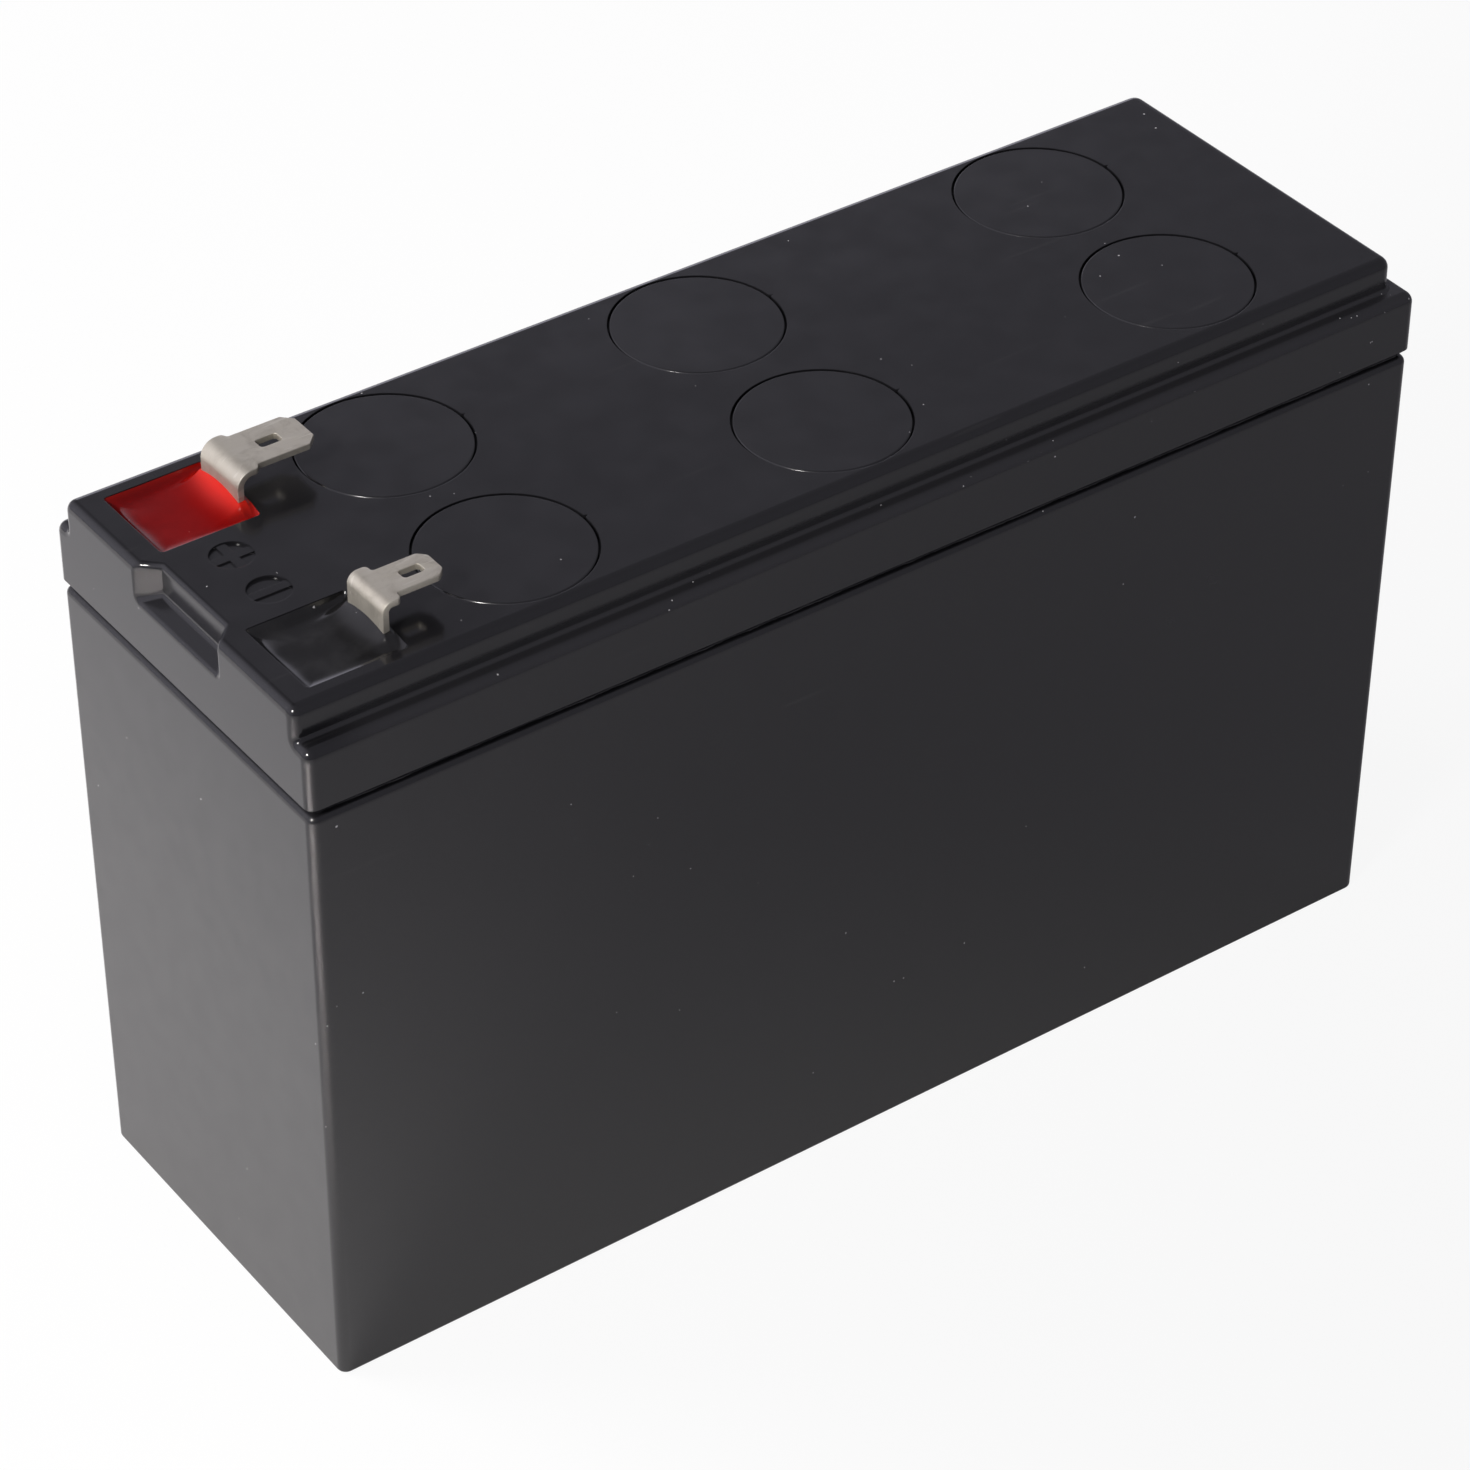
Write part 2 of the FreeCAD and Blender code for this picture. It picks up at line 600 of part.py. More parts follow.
def build_wells(body):
    """Seat, well, chimney and vent bore of each of the six valves."""
    places = [(x, lid_offset * row) for x in LID_COLUMNS for row in ROWS]
    boss = new_sketch(body, "WellBosses", offset=roof_height)
    seat = new_sketch(body, "LidSeats", offset=S.case_height)
    mouth = new_sketch(body, "WellMouths", offset=seat_height)
    ring = new_sketch(body, "WellRings", offset=chimney_top)
    bore = new_sketch(body, "VentBores", offset=chimney_top)
    pry = new_sketch(body, "PryNotches", offset=S.case_height)
    for x, y in places:
        circle(boss, x, y, seat_radius + S.well_wall)
        circle(seat, x, y, seat_radius)
        circle(mouth, x, y, well_radius)
        circle(ring, x, y, well_radius)
        circle(ring, x, y, S.chimney_radius)
        circle(bore, x, y, S.chimney_bore)
        root = x + seat_radius - S.pry_half
        outline(pry, [(root, y - S.pry_half), (x + seat_radius + S.pry_reach, y), (root, y + S.pry_half)])
    boss_bottom = well_bottom - S.well_floor
    pad(body, boss, roof_height - boss_bottom, "WellBossPads", downward=True)
    cut(body, seat, S.case_height - seat_height, "LidSeatCut")
    cut(body, mouth, seat_height - chimney_top, "WellMouthCut")
    cut(body, ring, S.chimney_height, "WellRingCut")
    cut(body, bore, chimney_top - boss_bottom + S.cut_past, "VentBoreCut")
    cut(body, pry, S.pry_depth, "PryNotchCut")


def build_pockets(body):
    """Two terminal pockets with the pole hole and the seal's groove in their floors."""
    boss = new_sketch(body, "PocketBosses", offset=step_height)
    opening = new_sketch(body, "PocketOpenings", offset=S.case_height)
    groove = new_sketch(body, "SealGrooves", offset=pocket_bottom)
    hole = new_sketch(body, "PoleHoles", offset=pocket_bottom)
    boss_half = pocket_half + S.pocket_wall
    for row in ROWS:
        y = pocket_offset * row
        box_outline(boss, pocket_x, y, boss_half, boss_half)
        box_outline(opening, pocket_x, y, pocket_half, pocket_half)
        circle(groove, pole_x, y, seal_radius)
        circle(hole, pole_x, y, S.pole_radius + S.pole_clearance)
    pad(body, boss, step_height - pocket_boss_bottom, "PocketBossPads", downward=True)
    cut(body, opening, S.pocket_depth, "PocketCut")

    def pocket_corner(edge, middle):
        if not is_upright(edge) or middle.z < pocket_bottom.number:
            return False
        beside_x = near(abs(middle.x - pocket_x.number), pocket_half.number)
        beside_y = near(abs(abs(middle.y) - pocket_offset.number), pocket_half.number)
        return beside_x and beside_y
    dress(body, "Fillet", S.pocket_corner, pocket_corner, "PocketCorners")
    cut(body, groove, S.seal_depth, "SealGrooveCut")
    cut(body, hole, S.pocket_floor + S.cut_past, "PoleHoleCut")


def build_marks(body):
    """Plus and minus signs, each raised in a shallow round recess between the pockets."""
    x = S.mark_inset - half_length
    recess = new_sketch(body, "MarkRecesses", offset=S.case_height)
    for row in ROWS:
        circle(recess, x, S.mark_offset * row, S.mark_radius)
    cut(body, recess, S.mark_depth, "MarkRecessCut")
    recess_floor = S.case_height - S.mark_depth
    along = new_sketch(body, "MarkBars", offset=recess_floor)
    for row in ROWS:
        box_outline(along, x, S.mark_offset * row, S.mark_radius, S.mark_bar / 2)
    pad(body, along, S.mark_raise, "MarkBarPads")
    across = new_sketch(body, "PlusBar", offset=recess_floor)
    box_outline(across, x, S.mark_offset, S.mark_bar / 2, S.mark_radius)
    pad(body, across, S.mark_raise, "PlusBarPad")


def revolve(body, sketch, name):
    """Full turn about the sketch's upright axis."""
    feature = body.newObject("PartDesign::Revolution", name)
    feature.Profile = sketch
    feature.ReferenceAxis = (sketch, ["V_Axis"])
    feature.Angle = 360.0
    doc.recompute()


def build_lid(number, x, y):
    """Flush round lid with a low stop that keeps the rubber cap down."""
    body = new_body(f"valve_lid_{number}")
    half = new_sketch(body, f"LidSection{number}", "XZ_Plane")
    outline(half, [
        (ZERO, -S.lid_boss_height), (S.lid_boss_radius, -S.lid_boss_height), (S.lid_boss_radius, ZERO),
        (lid_radius, ZERO), (lid_radius, S.lid_thickness), (ZERO, S.lid_thickness),
    ])
    revolve(body, half, f"LidTurn{number}")
    top = S.lid_thickness.number
    dress(body, "Chamfer", S.lid_edge, lambda e, m: lies_at(e, top), f"LidEdge{number}")
    place(body, x, y, seat_height)
    return body


def build_cap(number, x, y):
    """Rubber cup that sits over the vent chimney and lifts under pressure."""
    body = new_body(f"valve_cap_{number}")
    half = new_sketch(body, f"CapSection{number}", "XZ_Plane")
    inside = S.chimney_radius + S.cap_clearance
    outside = inside + S.cap_wall
    crown = S.chimney_height
    outline(half, [
        (inside, S.cap_lift), (outside, S.cap_lift), (outside, crown + S.cap_wall),
        (ZERO, crown + S.cap_wall), (ZERO, crown), (inside, crown),
    ])
    revolve(body, half, f"CapTurn{number}")
    top = (crown + S.cap_wall).number
    dress(body, "Chamfer", S.cap_edge, lambda e, m: lies_at(e, top), f"CapEdge{number}")
    place(body, x, y, well_bottom)
    return body


def build_seal(label, row):
    """Rubber ring round a pole, in its groove under the tab's foot."""
    ring = doc.addObject("Part::Torus", label)
    ring.Label = label
    around = S.pole_radius + S.seal_section / 2
    thick = S.seal_section / 2 - S.seal_clearance
    ring.setExpression("Radius1", around.text)
    ring.setExpression("Radius2", thick.text)
    middle = pocket_bottom - S.seal_depth + S.seal_section / 2
    place(ring, pole_x, pocket_offset * row, middle)
    return ring


def plate_centres(count):
    """Y of each plate of one polarity, about the middle of the cell."""
    return [stack_pitch * (number - (count - 1) / 2) for number in range(count)]


def build_plates(label, count, thickness, side, link, column, row):
    """Plates, lugs and strap of one polarity in one cell, cast together in lead.

    side is -1 or 1, the end of the cell where the lugs are; link is how the strap goes on:
    pole, along (through a cross partition) or across (through the middle partition).
    """
    body = new_body(label)
    plates = new_sketch(body, f"{label}_plan", offset=plate_bottom)
    lugs = new_sketch(body, f"{label}_lugs", offset=plate_top)
    centres = plate_centres(count)
    for y in centres:
        box_outline(plates, ZERO, y, plate_half, thickness / 2)
        box_outline(lugs, lug_x * side, y, S.lug_width / 2, thickness / 2)
    pad(body, plates, plate_top - plate_bottom, f"{label}_plates")
    pad(body, lugs, S.lug_height, f"{label}_lug_pads")
    strap = new_sketch(body, f"{label}_strap", offset=strap_bottom)
    ends = ordered(strap_end * side, (lug_x - S.strap_reach) * side)
    reach = centres[-1] + thickness / 2
    wide = (-reach, reach)
    if link == "across":
        inner = cell_width / 2 - S.strap_gap
        wide = (-reach, inner) if row < 0 else (-inner, reach)
    rectangle(strap, *ends, *wide)
    pad(body, strap, S.strap_thickness, f"{label}_strap_pad")
    if link == "pole":
        build_pole(body, label, side, row)
    else:
        build_link(body, label, side, link, row)
    place(body, column_pitch * column, row_offset * row)
    return body


def build_pole(body, label, side, row):
    """Round pole from the strap up through the cover, with a neck for the tab's foot."""
    y = (pocket_offset - row_offset) * row
    shoulder = pocket_bottom - S.shoulder_drop
    pole = new_sketch(body, f"{label}_pole", offset=strap_top)
    circle(pole, lug_x * side, y, S.pole_radius)
    pad(body, pole, shoulder - strap_top, f"{label}_pole_pad")
    neck = new_sketch(body, f"{label}_neck", offset=shoulder)
    circle(neck, lug_x * side, y, S.neck_radius)
    rise = S.shoulder_drop + S.tab_thickness + S.neck_rise
    pad(body, neck, rise, f"{label}_neck_pad")


def build_link(body, label, side, link, row):
    """Upright on the strap and the round link that meets its neighbour inside the partition."""
    top = link_height + S.link_radius + S.riser_margin
    upright = new_sketch(body, f"{label}_upright", offset=strap_top)
    radius = S.link_radius - S.link_clearance
    reach = S.strap_gap + S.partition / 2
    if link == "along":
        ends = ordered(strap_end * side, (strap_end - S.riser_thickness) * side)
        rectangle(upright, *ends, -S.riser_width / 2, S.riser_width / 2)
        stub = new_sketch(body, f"{label}_link", "YZ_Plane", strap_end * side)
        circle(stub, ZERO, link_height, radius)
        turned = side < 0
    else:
        inner = cell_width / 2 - S.strap_gap
        ends = ordered(-inner * row, (S.riser_thickness - inner) * row)
        middle = lug_x * side
        rectangle(upright, middle - S.riser_width / 2, middle + S.riser_width / 2, *ends)
        stub = new_sketch(body, f"{label}_link", "XZ_Plane", inner * row)
        circle(stub, middle, link_height, radius)
        turned = row < 0
    pad(body, upright, top - strap_top, f"{label}_upright_pad")
    pad(body, stub, reach, f"{label}_link_pad", downward=turned)


def build_mat(number, column, row):
    """Glass mat folded to and fro between the plates of one cell."""
    body = new_body(f"separator_{number}")
    plan = new_sketch(body, f"MatPlan{number}", offset=plate_bottom)
    positive, negative = plate_centres(POSITIVES), plate_centres(NEGATIVES)
    low, high = [], []
    for step in range(POSITIVES):
        low.append(negative[step] + S.negative_thickness / 2)
        high.append(positive[step] - S.positive_thickness / 2)
        low.append(positive[step] + S.positive_thickness / 2)
        high.append(negative[step + 1] - S.negative_thickness / 2)
    inside = plate_half + S.fold_gap
    outside = inside + mat_thickness
    open_end = plate_half + S.mat_overlap
    outer = [(-open_end, low[0]), (outside, low[0])]
    inner = [(inside, high[0]), (-open_end, high[0])]
    for step in range(1, 2 * POSITIVES - 1, 2):
        outer += [(outside, high[step]), (-inside, high[step])]
        outer += [(-inside, low[step + 1]), (outside, low[step + 1])]
        inner = [(inside, low[step])] + inner
        inner = [(-outside, high[step + 1]), (-outside, low[step])] + inner
        inner = [(inside, high[step + 1])] + inner
    outer += [(outside, high[-1]), (-open_end, high[-1])]
    inner = [(-open_end, low[-1]), (inside, low[-1])] + inner
    square_outline(plan, outer + inner)
    pad(body, plan, plate_top - plate_bottom + S.mat_rise, f"MatPad{number}")
    place(body, column_pitch * column, row_offset * row)
    return body


def build_tab(pole):
    """Blade bent from one strip: foot round the pole's neck, upright, shoulders, slotted blade."""
    reach = getattr(S, f"{pole}_reach")
    blade = getattr(S, f"{pole}_blade")
    width = getattr(S, f"{pole}_width")
    shoulder = getattr(S, f"{pole}_shoulder")
    bend = getattr(S, f"{pole}_bend")
    tip_corner = getattr(S, f"{pole}_tip")
    slot_half_length = getattr(S, f"{pole}_slot_length") / 2
    slot_half_width = getattr(S, f"{pole}_slot_width") / 2
    slot_end = getattr(S, f"{pole}_slot_end")
    row = 1 if pole == "positive" else -1
    body = new_body(f"{pole}_tab")
    front = upright_front
    back = front + S.tab_thickness
    tip = front + reach
    heel = pole_x - S.foot_end
    foot_top = pocket_bottom + S.tab_thickness
    under = tab_top - S.tab_thickness
    strip = new_sketch(body, f"{pole}_strip", "XZ_Plane")
    outline(strip, [
        (heel, pocket_bottom), (back, pocket_bottom), (back, under), (tip, under), (tip, tab_top),
        (front, tab_top), (front, foot_top), (heel, foot_top),
    ])
    pad(body, strip, shoulder, f"{pole}_strip_pad", both_ways=True)

    def bend_edge(x, z):
        return lambda e, m: near(m.x, x.number) and near(m.z, z.number) and e.BoundBox.YLength > SHORTEST
    dress(body, "Fillet", bend, bend_edge(front, tab_top), f"{pole}_bend_outside")
    dress(body, "Fillet", bend - S.tab_thickness, bend_edge(back, under), f"{pole}_bend_inside")
    dress(body, "Fillet", S.foot_bend, bend_edge(back, pocket_bottom), f"{pole}_foot_outside")
    dress(body, "Fillet", S.foot_bend - S.tab_thickness, bend_edge(front, foot_top), f"{pole}_foot_inside")

    sides = new_sketch(body, f"{pole}_sides", offset=tab_top)
    for side in (-1, 1):
        edges = ordered(width / 2 * side, shoulder * side)
        rectangle(sides, tip - blade, tip + blade, *edges)
    cut(body, sides, S.tab_thickness, f"{pole}_sides_cut")
    slot = new_sketch(body, f"{pole}_slot", offset=tab_top)
    box_outline(slot, tip - slot_end, ZERO, slot_half_length, slot_half_width)
    cut(body, slot, S.tab_thickness, f"{pole}_slot_cut")
    hole = new_sketch(body, f"{pole}_hole", offset=foot_top)
    circle(hole, pole_x, ZERO, S.neck_radius + S.neck_clearance)
    cut(body, hole, S.tab_thickness, f"{pole}_hole_cut")

    def upright_at(x, y):
        return lambda e, m: is_upright(e) and near(m.x, x.number) and near(abs(m.y), y.number)
    tip_kind = "Chamfer" if pole == "positive" else "Fillet"
    dress(body, tip_kind, tip_corner, upright_at(tip, width / 2), f"{pole}_tip_corners")
    dress(body, "Fillet", S.shoulder_round, upright_at(tip - blade, shoulder / 2), f"{pole}_shoulders")

    def slot_corner(edge, middle):
        inside = abs(middle.x - (tip - slot_end).number) < slot_half_length.number + CLOSE
        return is_upright(edge) and inside and near(abs(middle.y), slot_half_width.number)
    dress(body, "Fillet", S.slot_corner, slot_corner, f"{pole}_slot_corners")
    place(body, y=pocket_offset * row)
    return body


def climb_section(body, name, offset, run, rise):
    """Section of the resin that climbs the tab: hollow curve up, short slope down to the wall."""
    sketch = new_sketch(body, name, "XZ_Plane", offset)
    peak_x = upright_front + S.tab_thickness / 2
    foot_x = peak_x - run
    wall_x = pocket_x + pocket_half
    bed = resin_level - S.resin_bed
    radius = (run * run + rise * rise) / (rise * 2)
    centre = (foot_x, resin_level + radius)
    turn = math.asin(run.number / radius.number)
    round_line = Part.Circle(vector(centre[0].number, centre[1].number), vector(z=1), radius.number)
    arc = sketch.addGeometry(Part.ArcOfCircle(round_line, -math.pi / 2, turn - math.pi / 2), False)
    points = [(peak_x, resin_level + rise), (wall_x, resin_level + S.resin_rim), (wall_x, bed),
              (foot_x, bed), (foot_x, resin_level)]
    lines = []
    for (ax, ay), (bx, by) in zip(points, points[1:]):
        segment = Part.LineSegment(vector(ax.number, ay.number), vector(bx.number, by.number))
        lines.append(sketch.addGeometry(segment, False))
    for here, following in zip(lines, lines[1:]):
        sketch.addConstraint(Sketcher.Constraint("Coincident", here, 2, following, 1))
    for line, (x, y) in zip(lines, points):
        fix_point(sketch, line, 1, x, y)
    fix_point(sketch, lines[-1], 2, *points[-1])
    sketch.addConstraint(Sketcher.Constraint("Coincident", lines[-1], 2, arc, 1))
    sketch.addConstraint(Sketcher.Constraint("Coincident", arc, 2, lines[0], 1))
    fix(sketch, "Radius", (arc,), radius)
    return sketch


def build_resin(pole, tab, plates):
    """Potting of a terminal pocket, drawn up the walls and up the tab as it set."""
    row = 1 if pole == "positive" else -1
    shoulder = getattr(S, f"{pole}_shoulder")
    body = doc.addObject("PartDesign::Body", f"{pole}_potting")
    plan = new_sketch(body, f"{pole}_pool_plan", offset=pocket_bottom)
    box_outline(plan, pocket_x, ZERO, pocket_half, pocket_half)
    pad(body, plan, resin_level - pocket_bottom, f"{pole}_pool")
    frame = new_sketch(body, f"{pole}_rim_plan", offset=resin_level)
    land = pocket_half - S.resin_rim
    box_outline(frame, pocket_x, ZERO, pocket_half, pocket_half)
    box_outline(frame, pocket_x, ZERO, land, land)
    pad(body, frame, S.resin_rim, f"{pole}_rim")

    def creep_edge(edge, middle):
        if not lies_at(edge, resin_level.number):
            return False
        inner_x = near(abs(middle.x - pocket_x.number), land.number)
        return inner_x or near(abs(middle.y), land.number)
    dress(body, "Fillet", S.resin_creep, creep_edge, f"{pole}_creep")

    stations = [
        (pocket_half, S.resin_side_run, S.resin_side),
        (shoulder / 2, S.resin_edge_run, S.resin_edge),
        (ZERO, S.resin_peak_run, S.resin_peak),
        (-shoulder / 2, S.resin_edge_run, S.resin_edge),
        (-pocket_half, S.resin_side_run, S.resin_side),
    ]
    sections = [climb_section(body, f"{pole}_climb_{number}", *station)
                for number, station in enumerate(stations)]
    climb = body.newObject("PartDesign::AdditiveLoft", f"{pole}_climb")
    climb.Profile = sections[0]
    climb.Sections = sections[1:]
    doc.recompute()

    # The pocket's rounded corners trim the whole.
    trim = new_sketch(body, f"{pole}_trim_plan", offset=resin_level + S.resin_peak)
    box_outline(trim, pocket_x, ZERO, S.pocket_size, S.pocket_size)
    left, right = pocket_x - pocket_half, pocket_x + pocket_half
    corner = S.pocket_corner
    round_cornered(trim, [(left, -pocket_half, corner), (right, -pocket_half, corner),
                          (right, pocket_half, corner), (left, pocket_half, corner)])
    cut(body, trim, S.resin_peak + resin_level - pocket_bottom, f"{pole}_trim")
    place(body, y=pocket_offset * row)

    around_tab = doc.addObject("Part::Cut", f"{pole}_around_tab")
    around_tab.Base = body
    around_tab.Tool = tab
    doc.recompute()
    resin = doc.addObject("Part::Cut", f"{pole}_resin")
    resin.Base = around_tab
    resin.Tool = plates
    resin.Label = f"{pole}_resin"
    doc.recompute()
    return resin


parts = {}
parts["container"] = build_container()
parts["cover"] = build_cover()
for number, (x, row) in enumerate(((x, row) for x in LID_COLUMNS for row in ROWS), start=1):
    parts[f"valve_lid_{number}"] = build_lid(number, x, lid_offset * row)
    parts[f"valve_cap_{number}"] = build_cap(number, x, lid_offset * row)

# The current goes down the row of the positive pole and back along the other row.
CELLS = [(-1, 1), (0, 1), (1, 1), (1, -1), (0, -1), (-1, -1)]
for number, (column, row) in enumerate(CELLS, start=1):
    first, last, turning = number == 1, number == len(CELLS), column == 1
    arriving = "pole" if first else "across" if turning and row < 0 else "along"
    leaving = "pole" if last else "across" if turning and row > 0 else "along"
    parts[f"positive_plates_{number}"] = build_plates(
        f"positive_plates_{number}", POSITIVES, S.positive_thickness, -row, arriving, column, row)
    parts[f"negative_plates_{number}"] = build_plates(
        f"negative_plates_{number}", NEGATIVES, S.negative_thickness, row, leaving, column, row)
    parts[f"separator_{number}"] = build_mat(number, column, row)

POLES = {"positive": (1, "positive_plates_1"), "negative": (-1, f"negative_plates_{len(CELLS)}")}
for pole, (row, plates) in POLES.items():
    parts[f"{pole}_tab"] = build_tab(pole)
    parts[f"{pole}_seal"] = build_seal(f"{pole}_seal", row)
    parts[f"{pole}_resin"] = build_resin(pole, parts[f"{pole}_tab"], parts[plates])

doc.recompute()
for item in doc.Objects:
    if "Invalid" in item.State or "Error" in item.State:
        raise RuntimeError(f"{item.Name} failed: {item.State}")
for name, item in parts.items():
    if item.Shape.isNull() or not item.Shape.isValid():
        raise RuntimeError(f"{name} has no sound shape")

os.makedirs("parts", exist_ok=True)
for name, item in parts.items():
    item.Shape.exportStep(f"parts/{name}.step")
    print(name, len(item.Shape.Solids), round(item.Shape.Volume, 1))
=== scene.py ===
import math

import bmesh
import bpy
from mathutils import Matrix, Vector, noise


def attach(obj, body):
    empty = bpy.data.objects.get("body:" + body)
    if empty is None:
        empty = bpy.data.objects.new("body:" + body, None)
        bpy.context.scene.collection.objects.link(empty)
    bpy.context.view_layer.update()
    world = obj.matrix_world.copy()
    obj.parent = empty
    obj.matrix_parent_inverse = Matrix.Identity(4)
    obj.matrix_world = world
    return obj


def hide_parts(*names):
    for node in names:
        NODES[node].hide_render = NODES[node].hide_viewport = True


# Sealed lead acid battery on a white floor. Metres, +Z up, terminals at the -X end, positive side +Y.
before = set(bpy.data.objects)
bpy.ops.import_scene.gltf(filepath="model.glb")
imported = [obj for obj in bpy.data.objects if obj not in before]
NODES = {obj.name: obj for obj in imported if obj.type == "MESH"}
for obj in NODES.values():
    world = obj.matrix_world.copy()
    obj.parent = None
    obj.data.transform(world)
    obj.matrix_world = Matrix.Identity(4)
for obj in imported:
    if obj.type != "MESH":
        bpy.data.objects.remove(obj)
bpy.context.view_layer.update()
MM = 0.001

# Places that the looks share with the solids.
HALF_LENGTH = 75.5 * MM
HALF_WIDTH = 25.85 * MM
TOP = 93.0 * MM
LEDGE = 88.9 * MM
GROOVE = 80.2 * MM
POCKET_X = -65.8 * MM
POCKET_Y = 14.65 * MM
POCKET_HALF = 6.2 * MM
POCKET_CORNER = 0.5 * MM
POCKET_BOTTOM = 85.5 * MM
RISER_X = -61.0 * MM
SHEET = 0.8 * MM
TAB_TOP = 97.2 * MM
FOOT_BEND = 1.0 * MM
RESIN_LEVEL = 92.0 * MM

# Tab sizes in millimetres; blade, tip and slot are measured along the strip from its free end.
TABS = {
    "positive": {"row": 1, "reach": 10.9, "blade": 7.95, "width": 6.35, "shoulder": 7.8, "bend": 2.0,
                 "tip_cut": 1.25, "tip_round": 0.25, "slot": (2.7, 1.65), "slot_end": 4.55},
    "negative": {"row": -1, "reach": 8.8, "blade": 6.35, "width": 4.75, "shoulder": 7.0, "bend": 1.3,
                 "tip_cut": 0.95, "tip_round": 0.8, "slot": (2.6, 1.5), "slot_end": 3.0},
}

# The room: a plain level, and steps that grow towards a direction between two cosines.
ROOM_LEVEL = 0.255
ROOM_TINT = (0.96, 0.94, 1.09, 1)
ROOM_GRADES = (((-0.85, 0.45, 0.20), 0.30, 0.95, 0.60), ((0.55, 0.70, 0.55), 0.10, 0.90, -0.06),
               ((0.45, 0.82, 0.22), 0.94, 1.0, 1.3), ((0.0, 0.5, 0.87), 0.90, 0.99, -0.18))

# The floor's paint: plain beside the object, and darker in front of its long side and past its terminal
# end, painted shade that the case's gloss mirrors.
PAINT_NEAR = (0.88, 0.88, 0.88, 1)
PAINTED_SHADE_FRONT = (0.44, 0.44, 0.46, 1)
PAINTED_SHADE_END = (0.64, 0.64, 0.66, 1)


def collection_add(item):
    bpy.context.scene.collection.objects.link(item)
    return item


class Surface:
    """One procedural material; its patterns lie in the row frame, in metres."""

    def __init__(self, name):
        self.material = bpy.data.materials.new(name)
        self.material.use_nodes = True
        self.tree = self.material.node_tree
        self.shader = self.tree.nodes["Principled BSDF"]
        self.place = self.tree.nodes.new("ShaderNodeTexCoord").outputs["Object"]
        self.relief = None

    def add(self, kind, inputs=None, **settings):
        node = self.tree.nodes.new(kind)
        for key, value in settings.items():
            setattr(node, key, value)
        for key, value in (inputs or {}).items():
            self.give(node.inputs[key], value)
        return node

    def give(self, socket, value):
        """Sets a socket to a number or colour, or joins an output to it."""
        if isinstance(value, bpy.types.NodeSocket):
            self.tree.links.new(value, socket)
        else:
            socket.default_value = value

    def stretched(self, scale, shift=(0, 0, 0)):
        """The place scaled by one factor for each axis, and shifted."""
        inputs = {"Vector": self.place, "Scale": scale, "Location": shift}
        return self.add("ShaderNodeMapping", inputs).outputs[0]

    def noise(self, scale, detail=2.0, roughness=0.5, distortion=0.0, place=None):
        inputs = {"Vector": place or self.place, "Scale": scale, "Detail": detail,
                  "Roughness": roughness, "Distortion": distortion}
        return self.add("ShaderNodeTexNoise", inputs).outputs["Fac"]

    def ramp(self, value, low, high, start=0.0, end=1.0):
        """Value from low to high becomes start to end, with a soft shoulder at each end."""
        node = self.add("ShaderNodeMapRange", {"Value": value, "From Min": low, "From Max": high,
                                               "To Min": start, "To Max": end})
        node.interpolation_type = "SMOOTHSTEP"
        return node.outputs["Result"]

    def math(self, operation, a, b=0.0):
        node = self.add("ShaderNodeMath", operation=operation)
        self.give(node.inputs[0], a)
        self.give(node.inputs[1], b)
        return node.outputs[0]

    def mix(self, share, a, b):
        """Colour a where share is 0, b where it is 1."""
        node = self.add("ShaderNodeMix", data_type="RGBA")
        self.give(node.inputs[0], share)
        self.give(node.inputs[6], a)
        self.give(node.inputs[7], b)
        return node.outputs[2]

    def split(self):
        return self.add("ShaderNodeSeparateXYZ", {"Vector": self.place}).outputs

    def bump(self, height, distance, strength=1.0):
        """Adds relief; height 1 stands out by distance."""
        inputs = {"Height": height, "Distance": distance, "Strength": strength}
        if self.relief:
            inputs["Normal"] = self.relief
        self.relief = self.add("ShaderNodeBump", inputs).outputs["Normal"]

    def finish(self, **values):
        """Sets the shader's sockets, whose names are given with _ for spaces."""
        for key, value in values.items():
            self.give(self.shader.inputs[key.replace("_", " ")], value)
        if self.relief:
            self.give(self.shader.inputs["Normal"], self.relief)
        return self.material


def grey(level, blue=1.0):
    return (level, level * 0.985, level * blue, 1.0)


def specks(surface, scale, size, share, shift):
    """Small dust specks in loose clumps: 1 inside a speck, 0 elsewhere. Share is of the cells."""
    place = surface.stretched((1, 1, 1), shift)
    cells = surface.add("ShaderNodeTexVoronoi", {"Vector": place, "Scale": scale})
    drawn = surface.add("ShaderNodeTexWhiteNoise", {"Vector": cells.outputs["Position"]},
                        noise_dimensions="3D")
    clumps = surface.ramp(surface.noise(48, 2.0, 0.6, place=place), 0.44, 0.68, 0.5 * share, 4.0 * share)
    chosen = surface.math("GREATER_THAN", surface.math("ADD", drawn.outputs["Value"], clumps), 1.0)
    wobble = surface.noise(scale * 6, 1.0, place=place)
    reach = surface.math("MULTIPLY", wobble, size * scale * 2)
    inside = surface.math("LESS_THAN", cells.outputs["Distance"], reach)
    return surface.math("MULTIPLY", inside, chosen)


def ledge_dust_and_fill(s):
    """1 on the cover's ledge, where dust settles and where a lighter tone is painted as fill light
    against the dark lines mirrored along the ledge; 0 away from it and near the terminal end.
    """
    x, _, z = s.split()
    above = s.ramp(z, LEDGE - 1.4 * MM, LEDGE - 0.4 * MM)
    below = s.ramp(z, LEDGE + 1.8 * MM, LEDGE + 0.4 * MM)
    inward = s.ramp(x, -73 * MM, -66 * MM)
    return s.math("MULTIPLY", s.math("MULTIPLY", above, below), inward)


def rubbed_corner(s):
    """1 at the container's upright corner between the terminal end and the -Y side."""
    x, y, _ = s.split()
    return s.math("MULTIPLY", s.ramp(x, -72.0 * MM, -75.0 * MM), s.ramp(y, -21.5 * MM, -25.0 * MM))


